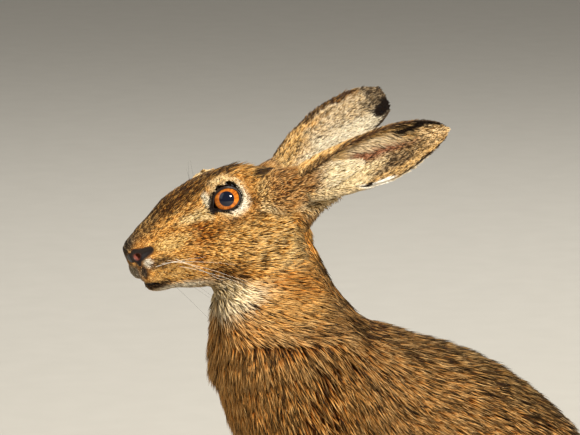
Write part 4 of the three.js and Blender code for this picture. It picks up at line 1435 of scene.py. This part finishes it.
@dataclass(frozen=True)
class FurFinish:
    """Hair: dark at its root, partly its own dark underfur and partly painted shade deep in the coat, its own
    colour along its middle, and black-brown where it is ticked.
    """

    name: str
    # root and deep darken and saturate each hair towards its root: its dark underfur, and painted shade deep in
    # the coat
    root: float = 0.24
    deep: float = 1.25  # how much more saturated a hair is at its root

    def dress(self, piece: bpy.types.Object) -> None:
        """Puts the finish on a piece of coat."""
        shader = Shader(self.name, Specular_IOR_Level=0.08)
        along, dark = shader.kept("along"), shader.kept("dark")
        grain = shader.noise(700, 2)
        tip = shader.rise(along, 0.05, 0.75)
        # darker and more saturated towards the root, as the underfur and as painted shade within the coat
        rich = {0: shader.kept("ground", "Color"), 1: (0.92 + self.deep) - self.deep * tip}
        rich = Wire(shader, shader.node("Gamma", {}, rich).outputs[0])
        colour = shader.scaled(rich, (self.root + (1 - self.root) * tip) * (0.82 + 0.36 * grain))
        ticked = dark * shader.rise(along, 0.1, 0.5)
        shader.dress(
            piece,
            Base_Color=shader.mix(ticked, colour, DARK_HAIR),
            Roughness=0.5 + 0.2 * grain,
            Normal=shader.bump(shader.noise(2600, 1), 0.0001, 0.6),
        )


@dataclass(frozen=True)
class CoatPiece:
    """One piece of the body's coat: the parts and the side that it covers, and how many locks it has."""

    name: str
    parts: tuple[Part, ...]
    side: int
    count: int
    broad: float = 1.0  # how broad its locks are beside the usual
    fine: float = 0.0  # how much finer they are at the front of the body
    long: float = 1.0  # how long they are beside the usual

    def finer(self, points: Array) -> Array:
        """How many times finer the locks are at each point."""
        return 1 + self.fine * smoothstep(90, 10, points[:, 0])


COAT_PIECES = tuple(
    CoatPiece(f"coat_{name}_{word}", parts, side, *rest)
    for name, parts, *rest in (
        ("head", (Part.HEAD,), 32000, 1.0, 0.0, 1.15),
        ("neck", (Part.NECK,), 13000, 1.0, 0.0, 1.05),
        ("trunk", (Part.TRUNK,), 27000, 1.15, 0.4, 0.9),
        ("foreleg", (Part.UPPER_ARM, Part.FOREARM, Part.PAW), 12000),
        ("hindleg", (Part.THIGH, Part.SHANK, Part.FOOT), 17000, 1.1, 0.0, 0.9),
    )
    for word, side in SIDES.items()
) + (CoatPiece("coat_tail", (Part.TAIL,), 0, 4000, 1.1),)


@dataclass
class Coat:
    """The coat of the body, in pieces, each lock as long as the coat is deep there."""

    body: Body
    markings: Markings
    stretch: float = 2.4  # length of a lock beside the depth of the coat
    shortest: Profile = Profile((0, 1.1), (20, 1.8), (40, 2.2), (85, 3), (110, 5))  # by place on the head
    tuft: Place = (82, 4, 26)  # a longer tuft on the crown, in the head's own directions
    tuft_reach: float = 7.0
    by_eye: tuple[float, ...] = (19.0, 13.0, 0.35)  # from 19 to 13 mm off the eye they lose 0.35
    longest: tuple[float, ...] = (14.0, 2.5, 0.3)  # this far off it 2.5 mm at most, 0.3 more for each mm
    fan: float = 0.08  # how far locks turn from the lie of the coat
    clump: tuple[float, int] = (0.25, 7)  # how far their tips are drawn together, and how many of them
    slope: tuple[float, float] = (math.radians(24), math.radians(6))  # of a lock's start and of its tip
    clear: float = 0.4  # how high a tip stands over a hollow of the skin
    steepest: float = 0.7  # sine of the most that it is lifted for this

    def __post_init__(self) -> None:
        """Works out the form that the tips of the coat reach."""
        self.outline = self.body.outline()

    def length(self, points: Array) -> Array:
        """Length of the locks at each point."""
        head = to_head(folded(points))
        longer = 1 + np.exp(-(np.linalg.norm(head - self.tuft, axis=1) / self.tuft_reach) ** 2)
        to_eye = self.body.head.eye.away(head)
        outer, inner, less = self.by_eye
        longer *= 1 - less * smoothstep(outer, inner, to_eye)
        length = np.maximum(-self.stretch * self.outline.distance(points), self.shortest(head[:, 0]))
        off, most, more = self.longest
        return np.minimum(length, most + more * np.maximum(to_eye - off, 0)) * longer

    @staticmethod
    def width(length: Array) -> Array:
        """Width of a lock of the given length."""
        return 0.3 + 0.06 * length

    def roots(self, mesh: bpy.types.Mesh,
              rng: np.random.Generator) -> list[tuple[CoatPiece, Array, Array, Array]]:
        """Scatters the roots of each piece over the skin, closer together where the coat is short.

        Args:
            mesh: the skin, without its ears.
            rng: the source of chance.

        Returns:
            For each piece the roots, their normals and the value of the part that each is on.
        """
        mesh.calc_loop_triangles()
        triangles = np.zeros(3 * len(mesh.loop_triangles), np.int32)
        mesh.loop_triangles.foreach_get("vertices", triangles)
        triangles = triangles.reshape(-1, 3)
        points = points_of(mesh)
        flat = np.zeros(points.size, np.float32)
        mesh.vertex_normals.foreach_get("vector", flat)
        normals = flat.reshape(-1, 3).astype(float)
        a, b, c = points[triangles].transpose(1, 0, 2)
        middle = (a + b + c) / 3
        length = self.length(middle)
        weight = np.linalg.norm(np.cross(b - a, c - a), axis=1) / (length * self.width(length))
        weight *= self.markings.bare(middle) < 0.5
        part_of = self.body.parts_at(middle)
        made = []
        for piece in COAT_PIECES:
            mine = np.isin(part_of, [part.value for part in piece.parts]) & (middle[:, 1] * piece.side >= 0)
            share = weight * mine * piece.finer(middle) ** 2
            chosen = rng.choice(len(triangles), piece.count, p=share / share.sum())
            spot = rng.dirichlet((1, 1, 1), piece.count)[:, :, None]
            corners = triangles[chosen]
            made.append((piece, (points[corners] * spot).sum(1), unit((normals[corners] * spot).sum(1)),
                         part_of[chosen]))
        return made

    def build(self, skin: Skin) -> list[bpy.types.Object]:
        """Makes every piece of the body's coat over the skin."""
        rng = np.random.default_rng(SEED)
        return [self.piece(skin, *rooted, rng) for rooted in self.roots(skin.rooted, rng)]

    def piece(self, skin: Skin, piece: CoatPiece, root: Array, normal: Array, part_of: Array,
              rng: np.random.Generator) -> bpy.types.Object:
        """Makes one piece of coat over the given roots."""
        length = self.length(root)
        width = self.width(length) * piece.broad / piece.finer(root)
        length = length * piece.long * rng.uniform(0.75, 1.25, len(root))
        ground, dark = self.markings.paint(root)
        ground, dark = hair_colours(rng, root, ground, dark)
        unwrapped = np.zeros((len(root), 2))
        for i, part in enumerate(piece.parts):
            own = part_of == part.value
            spot = fill_map(self.body.unwrap(root[own], part)) if own.any() else unwrapped[own]
            unwrapped[own] = (spot + (i, 0)) / (len(piece.parts), 1)
        lie = lie_of(root, normal, self.body.head.eye)
        above = skin.form(root + length[:, None] * (0.95 * lie + 0.25 * normal))  # height of an unlifted tip
        lift = np.arcsin(np.clip((self.clear - above) / length, 0, self.steepest))
        locks = Locks(root, normal, lie, length, width, ground, dark, fill_map(unwrapped), *self.slope, lift)
        locks.stray(rng, self.fan)
        locks.gather(rng, *self.clump)
        made = locks.build(piece.name, rng)
        FurFinish("hare_fur").dress(made)
        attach(made, "root")
        return made


# Places on the ears are (u, share towards the upper edge, 0)
EAR_BACK = patches_of(
    ((0.5, 0, 0), (2, 2, 1), "dcc196", 0.16),
    ((0.05, 0, 0), (0.3, 2, 1), "d3a662", 0.26),
    ((0.5, -0.35, 0), (0.5, 0.7, 1), "e9dabb", 0.06, 0.3),
    ((0.5, 0.99, 0), (0.8, 0.13, 1), "8c6433", 0.62, 0.4),  # dark along the upper edge
    ((0.22, 0.76, 0), (0.28, 0.14, 1), "dba85f", 0.12, 0.4),  # ochre beside it
    ((0.26, -0.88, 0), (0.24, 0.28, 1), "dabf8f", 0.06, 0.4),
    ((0.97, 0.6, 0), (0.14, 0.8, 1), "8c7657", 0.6, 0.3),
    ((0.94, -0.75, 0), (0.12, 0.5, 1), "5d4a35", 0.8, 0.4),
    ((0.98, 0.08, 0), (0.12, 0.42, 1), "0c0806", 1.0, 0.2),  # black tip
    ((0.46, -1, 0), (0.12, 0.14, 1), "efe6d4", 0.0, 0.3),  # white at the fold of the lower edge
)
EAR_SCOOP = patches_of(
    ((0.5, 0, 0), (2, 2, 1), "b8935f", 0.42),
    ((0.24, 0, 0), (0.3, 2, 1), "dfc694", 0.05, 0.4),  # cream in the root
    ((0.42, 0.6, 0), (0.36, 0.38, 1), "deab62", 0.08, 0.4),  # ochre, then a long pale fringe
    ((0.52, 0.42, 0), (0.2, 0.3, 1), "dcc196", 0.03, 0.4),
    ((0.54, 0.1, 0), (0.2, 0.22, 1), "8e5738", 0.25, 0.5),  # reddish along the middle
    ((0.64, -0.42, 0), (0.12, 0.34, 1), "8a6c46", 0.45, 0.5),
    ((0.5, 1, 0), (0.62, 0.08, 1), "8d6b43", 0.5, 0.3),
    ((0.68, -0.78, 0), (0.36, 0.17, 1), "cba163", 0.2, 0.4),
    ((0.5, -0.98, 0), (0.17, 0.12, 1), "f2ebdc", 0.0, 0.3),
    ((0.86, -1, 0), (0.2, 0.09, 1), "2a1d12", 0.85, 0.4),
    ((0.76, 0.68, 0), (0.11, 0.15, 1), "0c0806", 1.0, 0.3),  # black streak
    ((0.9, 0.88, 0), (0.17, 0.15, 1), "0c0806", 1.0, 0.3),  # and black along the upper edge
    ((0.42, -0.9, 0), (0.035, 0.2, 1), "0c0806", 0.9, 0.4),  # black at the fold of the lower edge
    ((0.95, 0.1, 0), (0.12, 0.55, 1), "d6b17a", 0.25, 0.4),
)


@dataclass
class EarCoat:
    """The short coat of one ear, on both faces, and the long fringe inside its upper edge."""

    ear: Ear
    word: str
    count: int = 11000  # locks on each face
    length: float = 4.0
    width: float = 0.6
    fringe: float = 11.0
    fringe_lean: float = 0.9  # how far the fringe leans in from the edge
    lean: tuple[float, float] = (0.12, 0.35)  # how far hairs lean to the edges, outside and inside
    fan: float = 0.13
    slope: tuple[float, float] = (math.radians(26), math.radians(9))  # of a hair's start and of its tip
    deepest: float = 0.1  # no hair shows further down inside than this u
    step: float = 0.01  # over which directions are measured

    def paint(self, u: Array, share: Array, inner: Array) -> tuple[Array, Array]:
        """The colour and the share of dark hairs at places of the ear; inner is 1 on its inner face."""
        places = np.stack([u, self.ear.upper(share), np.zeros(len(u))], 1)
        sway = 0.05 * np.stack([wave(places * (90, 25, 0), 14, SEED + i) for i in range(3)], 1)
        ground, dark = np.zeros((len(u), 3)), np.zeros(len(u))
        for face, patches in ((0, EAR_BACK), (1, EAR_SCOOP)):
            mine = np.round(inner) == face
            for patch in patches:
                part = patch.share((places + sway * (1, 1, 0))[mine])
                ground[mine] += part[:, None] * (tint(patch.colour) - ground[mine])
                dark[mine] += part * (patch.dark - dark[mine])
        return ground, dark

    def build(self) -> bpy.types.Object:
        """Makes the ear's coat."""
        rng = np.random.default_rng(SEED + self.ear.side)
        u = rng.uniform(0.02, 1, 8 * self.count)
        wide = self.ear.radius(u) * self.ear.half_angle(u)
        u = u[rng.random(len(u)) < wide / wide.max()][:2 * self.count]
        share = rng.uniform(-1, 1, len(u))
        inner = (rng.random(len(u)) < 0.5) & (u > self.deepest)
        sign = np.where(inner, -1.0, 1.0)[:, None]
        full = self.ear.full_thickness(u, share)
        depth = full * np.where(inner, self.ear.skin_share[1], self.ear.skin_share[0])
        root = self.ear.place(u, share, depth)
        along = unit(self.ear.place(u + self.step, share, depth) - root)
        inwards = np.where(share < 0, 1.0, -1.0)
        across = unit(self.ear.place(u, share + self.step * inwards, depth) - root) * inwards[:, None]
        middle = self.ear.spine(u) + self.ear.radius(u)[:, None] * self.ear.facing
        normal = unit(np.cross(along, across))
        normal *= np.sign(((root - middle) * normal).sum(1, keepdims=True)) * sign
        upward = across * self.ear.side
        upper = self.ear.upper(share)
        fringed = inner * smoothstep(0.1, 0.4, upper) * smoothstep(0.94, 0.86, upper)
        fringed *= smoothstep(0.84, 0.7, u)
        to_edge = np.where(inner, self.lean[1], self.lean[0]) * share * self.ear.side
        lie = along + upward * (to_edge - self.fringe_lean * fringed * smoothstep(0.1, 0.5, u))[:, None]
        lie = level(lie, normal)
        ground, dark = self.paint(u, share, inner.astype(float))
        ground, dark = hair_colours(rng, root, ground, dark)
        length = self.length * rng.uniform(0.7, 1.25, len(u)) * smoothstep(1.2, 0.8, u)
        length += (self.fringe - self.length) * fringed * rng.uniform(0.5, 1, len(u))
        spot = np.stack([(share + 1) / 4 + 0.5 * inner, u], 1)
        width = np.full(len(u), self.width)
        locks = Locks(root, normal, lie, length, width, ground, dark, fill_map(spot), *self.slope)
        locks.stray(rng, self.fan)
        made = locks.build(f"coat_ear_{self.word}", rng)
        FurFinish("hare_ear_fur", 0.42, 0.7).dress(made)
        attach(made, "root")
        return made


# Eyes, claws and whiskers

@dataclass(frozen=True)
class EyeFinish:
    """A wet amber eye with a black pupil, tinted blue as a painted reflection of the sky."""

    bright: str = "b86a18"
    deep: str = "81400c"
    # the pupil is black with a blue tint: a painted reflection of the sky
    pupil: str = "050a1a"
    ring: str = "0d0705"

    def dress(self, piece: bpy.types.Object, eye: Eye) -> None:
        """Puts the finish on an eyeball, which keeps its points' angles off its axis."""
        shader = Shader("hare_eye", Roughness=0.06, Specular_IOR_Level=0.28, Coat_Roughness=0.03,
                        Coat_Weight=0.25)
        off_axis = shader.kept("off_axis")
        fibre = shader.kept("fibre", "Vector")
        streaks = shader.noise(2.4, 4, fibre)
        cloud = shader.noise(0.9, 2, fibre)
        shaded = shader.rise(streaks * 0.6 + cloud * 0.6, 0.42, 0.78)
        iris = shader.mix(shaded, tint(self.bright), tint(self.deep))
        outer = shader.rise(off_axis, eye.iris - 0.09, eye.iris)
        iris = shader.mix(outer, iris, tint(self.ring))
        inner = shader.rise(off_axis + 0.02 * streaks, eye.pupil + 0.035, eye.pupil)
        shader.dress(piece, Base_Color=shader.mix(inner, iris, tint(self.pupil)))


@dataclass
class EyeBall:
    """One eyeball, finely made, with the slight bulge of its cornea."""

    word: str
    eye: Eye
    bulge: float = 0.35
    cornea: float = 0.62  # how far off the axis the bulge goes
    under_lids: float = 0.5  # how much smaller it is behind the lids
    rows: int = 64
    columns: int = 72

    def build(self) -> bpy.types.Object:
        """Makes the eyeball in place of its node."""
        side = SIDES[self.word]
        off_axis = np.linspace(0, math.pi, self.rows + 1)[1:-1]
        around = np.linspace(0, 2 * math.pi, self.columns, endpoint=False)
        off_axis, around = np.meshgrid(off_axis, around, indexing="ij")
        reach = self.eye.radius + self.bulge * np.exp(-(off_axis / self.cornea) ** 4)
        reach -= self.under_lids * smoothstep(0.05, 0.2, off_axis - self.eye.opening(around))
        body = self.eye.place(off_axis, around, reach).reshape(-1, 3)
        end_reach = self.eye.radius + np.array([self.bulge, 0])
        ends = self.eye.place(np.array([0, math.pi]), np.zeros(2), end_reach)
        points = np.vstack([body, ends]) * [1, side, 1]
        at = np.arange(body.shape[0]).reshape(off_axis.shape)
        beside = np.roll(at, -1, 1)
        walls = np.stack([at[:-1], at[1:], beside[1:], beside[:-1]], -1).reshape(-1, 4)
        front = np.stack([at[0], beside[0], np.full(self.columns, len(body))], -1)
        back = np.stack([beside[-1], at[-1], np.full(self.columns, len(body) + 1)], -1)
        piece = mesh_of(f"eyeball_{self.word}", points, [walls, front, back])
        Skin.face_outwards(piece)
        off = np.append(off_axis.ravel(), [0, math.pi])
        turn = np.append(around.ravel(), [0, 0])
        keep(piece, "off_axis", off)
        keep(piece, "fibre", np.stack([4 * np.cos(turn), 4 * np.sin(turn), 1.2 * off], 1))
        EyeFinish().dress(piece, self.eye)
        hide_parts(f"eye_{self.word}")
        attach(piece, "root")
        return piece


@dataclass
class Claws:
    """The claws of one foot: horns that start inside the toes and curve forward and down."""

    foot: str
    word: str
    leg: Leg
    length: float = 10.0
    radius: float = 1.8
    curl: float = 0.6
    rows: int = 9
    sides: int = 10

    def build(self) -> list[bpy.types.Object]:
        """Makes each claw of the foot in place of its node."""
        made = []
        for i, (x, y, z, toe) in enumerate(self.leg.toes):
            u = np.linspace(0, 1, self.rows)
            drop = self.length * 0.5 * u * np.sin(self.curl * u)
            line = np.stack([x + 0.4 * toe - self.length * u, np.full(self.rows, y), z + 1 - drop], 1)
            radii = self.radius * 0.92 * (1 - 0.86 * u**1.4)
            points, faces = sweep(line[None], radii[None], self.sides, np.array([[0.0, 1.0, 0.0]]))
            piece = mesh_of(f"horn_{self.foot}_{self.word}_{i + 1}", points, faces)
            Skin.face_outwards(piece)
            self.dress(piece)
            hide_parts(f"claw_{self.foot}_{self.word}_{i + 1}")
            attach(piece, "root")
            made.append(piece)
        return made

    @staticmethod
    def dress(piece: bpy.types.Object) -> None:
        """Puts streaked dark horn on a claw."""
        shader = Shader("hare_claw", Specular_IOR_Level=0.5)
        streaks = shader.noise(420, 3)
        colour = shader.mix(shader.rise(streaks, 0.35, 0.7), tint("231812"), tint("5b4434"))
        shader.dress(piece, Base_Color=colour, Roughness=0.35 + 0.25 * streaks,
                     Normal=shader.bump(streaks, 0.0001, 0.5))


@dataclass(frozen=True)
class Bristles:
    """One kind of long stiff hair: where its roots are and how it grows."""

    roots: tuple[tuple[float, float], ...]  # back and up, in the head's own directions
    way: Place  # forward, side and up, at the middle of the lip
    spread: float  # how much more upward it grows for each mm that its root is higher
    length: float
    radius: float
    dark: float  # share of dark ones


BRISTLES = (
    Bristles(((11, -11), (15, -11), (19, -12), (23, -13), (10.5, -14.5), (14.5, -15), (18.5, -16),
              (22.5, -17), (27, -17.5), (12, -18.5), (16, -19.5), (20, -20.5), (25, -21.5)),
             (0.72, 0.62, -0.42), 0.03, 58, 0.09, 0.35),
    Bristles(((52, 20), (56, 21), (60, 22), (50, -15), (54, -17)), (0.25, 0.5, 0.8), 0, 26, 0.08, 1),
)
MIDDLE_OF_LIP = -16  # how high the middle of the whiskers is


@dataclass
class Whiskers:
    """Whiskers of the lip and long hairs of the brow, on both sides."""

    skin: Skin
    rows: int = 12
    sides: int = 5

    def strand(self, root: Array, way: Array, length: float, droop: float) -> Array:
        """A line that starts one way and droops a little as it goes."""
        share = np.linspace(0, 1, self.rows)[:, None]
        return root + length * (share * unit(way) + share**2 * np.array([0.1, 0.0, -0.22]) * droop)

    def build(self) -> bpy.types.Object:
        """Makes all the whiskers as one piece."""
        rng = np.random.default_rng(SEED)
        kinds = [(place, kind, side) for side in SIDES.values() for kind in BRISTLES for place in kind.roots]
        starts = from_head([(back, side * 30, up) for (back, up), _, side in kinds])
        roots = settle(self.skin.form, starts, 12, 4)
        lines, radii, shades = [], [], []
        taper = 1 - 0.85 * np.linspace(0, 1, self.rows)
        for root, ((_, up), kind, side) in zip(roots, kinds):
            ahead, aside, upward = kind.way
            way = np.array((ahead, aside * side, upward + kind.spread * (up - MIDDLE_OF_LIP)))
            way = (way + rng.normal(0, 0.24, 3)) @ HEAD_AXES
            length = kind.length * rng.uniform(0.55, 1)
            lines.append(self.strand(root - unit(way), way, length, rng.uniform(0.4, 1)))
            radii.append(kind.radius * taper)
            shades.append(float(kind.dark == 1 or rng.random() < kind.dark))
        across = np.tile([0.3, 0.1, 1.0], (len(lines), 1))
        points, faces = sweep(np.array(lines), np.array(radii), self.sides, across)
        piece = mesh_of("whiskers", points, faces)
        Skin.face_outwards(piece)
        keep(piece, "dark", np.repeat(shades, self.rows * self.sides))
        shader = Shader("hare_whiskers", Specular_IOR_Level=0.5)
        colour = shader.mix(shader.kept("dark"), tint("efe9de"), DARK_HAIR)
        grain = shader.noise(500, 2)
        shader.dress(piece, Base_Color=shader.scaled(colour, 0.85 + 0.3 * grain), Roughness=0.3 + 0.2 * grain)
        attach(piece, "root")
        return piece


# Studio

@dataclass(frozen=True)
class Lamp:
    """A soft square light, aimed at the middle of the animal."""

    azimuth: float
    elevation: float
    away: float
    size: float
    power: float
    colour: tuple[float, float, float] = (1, 1, 1)

    def build(self, name: str, aim: Vector) -> None:
        """Hangs the light."""
        light = bpy.data.lights.new(name, "AREA")
        light.size, light.energy, light.color = self.size, self.power, self.colour
        lamp = bpy.data.objects.new(name, light)
        way = compass(self.azimuth, self.elevation)
        lamp.location = aim + self.away * way
        lamp.rotation_euler = way.to_track_quat("Z", "Y").to_euler()
        bpy.context.scene.collection.objects.link(lamp)


def compass(azimuth: float, elevation: float) -> Vector:
    """The way from the animal at these degrees: azimuth 0 is towards -Y and 90 towards +X."""
    turn, lift = math.radians(azimuth), math.radians(elevation)
    return Vector((math.sin(turn) * math.cos(lift), -math.cos(turn) * math.cos(lift), math.sin(lift)))


@dataclass(frozen=True)
class Studio:
    """A plain pale floor, soft light and the camera of the photo."""

    view: tuple[float, float] = (-20.0, 9.0)  # azimuth and elevation of the camera
    lens: float = 300.0
    sensor: float = 36.0
    frame_wide: float = 0.3625  # what the picture is wide at the animal, in metres
    aim: Place = (-47.4, -15.0, 307.5)  # what the middle of the picture shows
    middle: Place = (-0.02, 0, 0.2)  # what the lamps are aimed at, in metres
    sky: tuple[float, float, float, float] = (1, 0.98, 0.95, 1)
    sky_strength: float = 0.32
    lamps: tuple[Lamp, ...] = (
        Lamp(8, 30, 2.4, 0.3, 122, (1, 0.94, 0.83)),
        Lamp(-75, 30, 2.6, 1.8, 14, (0.96, 0.98, 1)),
        Lamp(150, 48, 2.6, 1.2, 40),
    )

    def build(self) -> None:
        """Makes the floor, the lights and the camera."""
        bpy.ops.mesh.primitive_plane_add(size=30)
        floor = bpy.context.active_object
        floor.name = "floor"
        shader = Shader("pale_floor")
        grain = shader.noise(30, 3)
        colour = shader.mix(grain, tint("b5b0a5"), tint("bdb8ad"))
        shader.dress(floor, Base_Color=colour, Roughness=0.8 + 0.1 * grain)
        floor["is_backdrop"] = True
        for i, lamp in enumerate(self.lamps):
            lamp.build(f"lamp_{i + 1}", Vector(self.middle))
        world = bpy.data.worlds.new("studio")
        world.use_nodes = True
        background = world.node_tree.nodes["Background"]
        background.inputs["Color"].default_value = self.sky
        background.inputs["Strength"].default_value = self.sky_strength
        bpy.context.scene.view_settings.view_transform = "Standard"
        bpy.context.scene.world = world
        self.camera()

    def camera(self) -> None:
        """Sets up the camera."""
        data = bpy.data.cameras.new("camera")
        data.lens, data.sensor_width = self.lens, self.sensor
        data.clip_end = 60
        camera = bpy.data.objects.new("camera", data)
        way = compass(*self.view)
        away = self.frame_wide * self.lens / self.sensor
        camera.location = Vector(in_frame(np.array(self.aim))) + away * way
        camera.rotation_euler = way.to_track_quat("Z", "Y").to_euler()
        bpy.context.scene.collection.objects.link(camera)
        bpy.context.scene.camera = camera


def report(piece: bpy.types.Object) -> None:
    """Logs a piece and how many triangles it has."""
    mesh = piece.data
    mesh.calc_loop_triangles()
    LOG.info("%s: %d triangles", piece.name, len(mesh.loop_triangles))


def write_sizes() -> None:
    """Works out the box of the solids and the box of what shows, as plain lists."""
    boxes = {"cad": CAD_BOX, "visual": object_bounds()}
    plain = {name: [list(corner) for corner in box] for name, box in boxes.items()}


def main() -> None:
    """Builds the hare and the studio round it."""
    logging.basicConfig(level=logging.INFO, format="%(relativeCreated)6.0f ms %(message)s")
    Studio().build()
    body = Body()
    markings = Markings(body)
    skin = Skin(body, markings)
    report(skin.build())
    for piece in Coat(body, markings).build(skin):
        report(piece)
    for word, ear in EARS.items():
        report(EarCoat(ear, word).build())
    for word in SIDES:
        report(EyeBall(word, body.head.eye).build())
    for word, side in SIDES.items():
        for foot, legs in (("fore", body.fore), ("hind", body.hind)):
            for piece in Claws(foot, word, legs[side]).build():
                report(piece)
    report(Whiskers(skin).build())
    write_sizes()


if __name__ == "__main__":
    main()
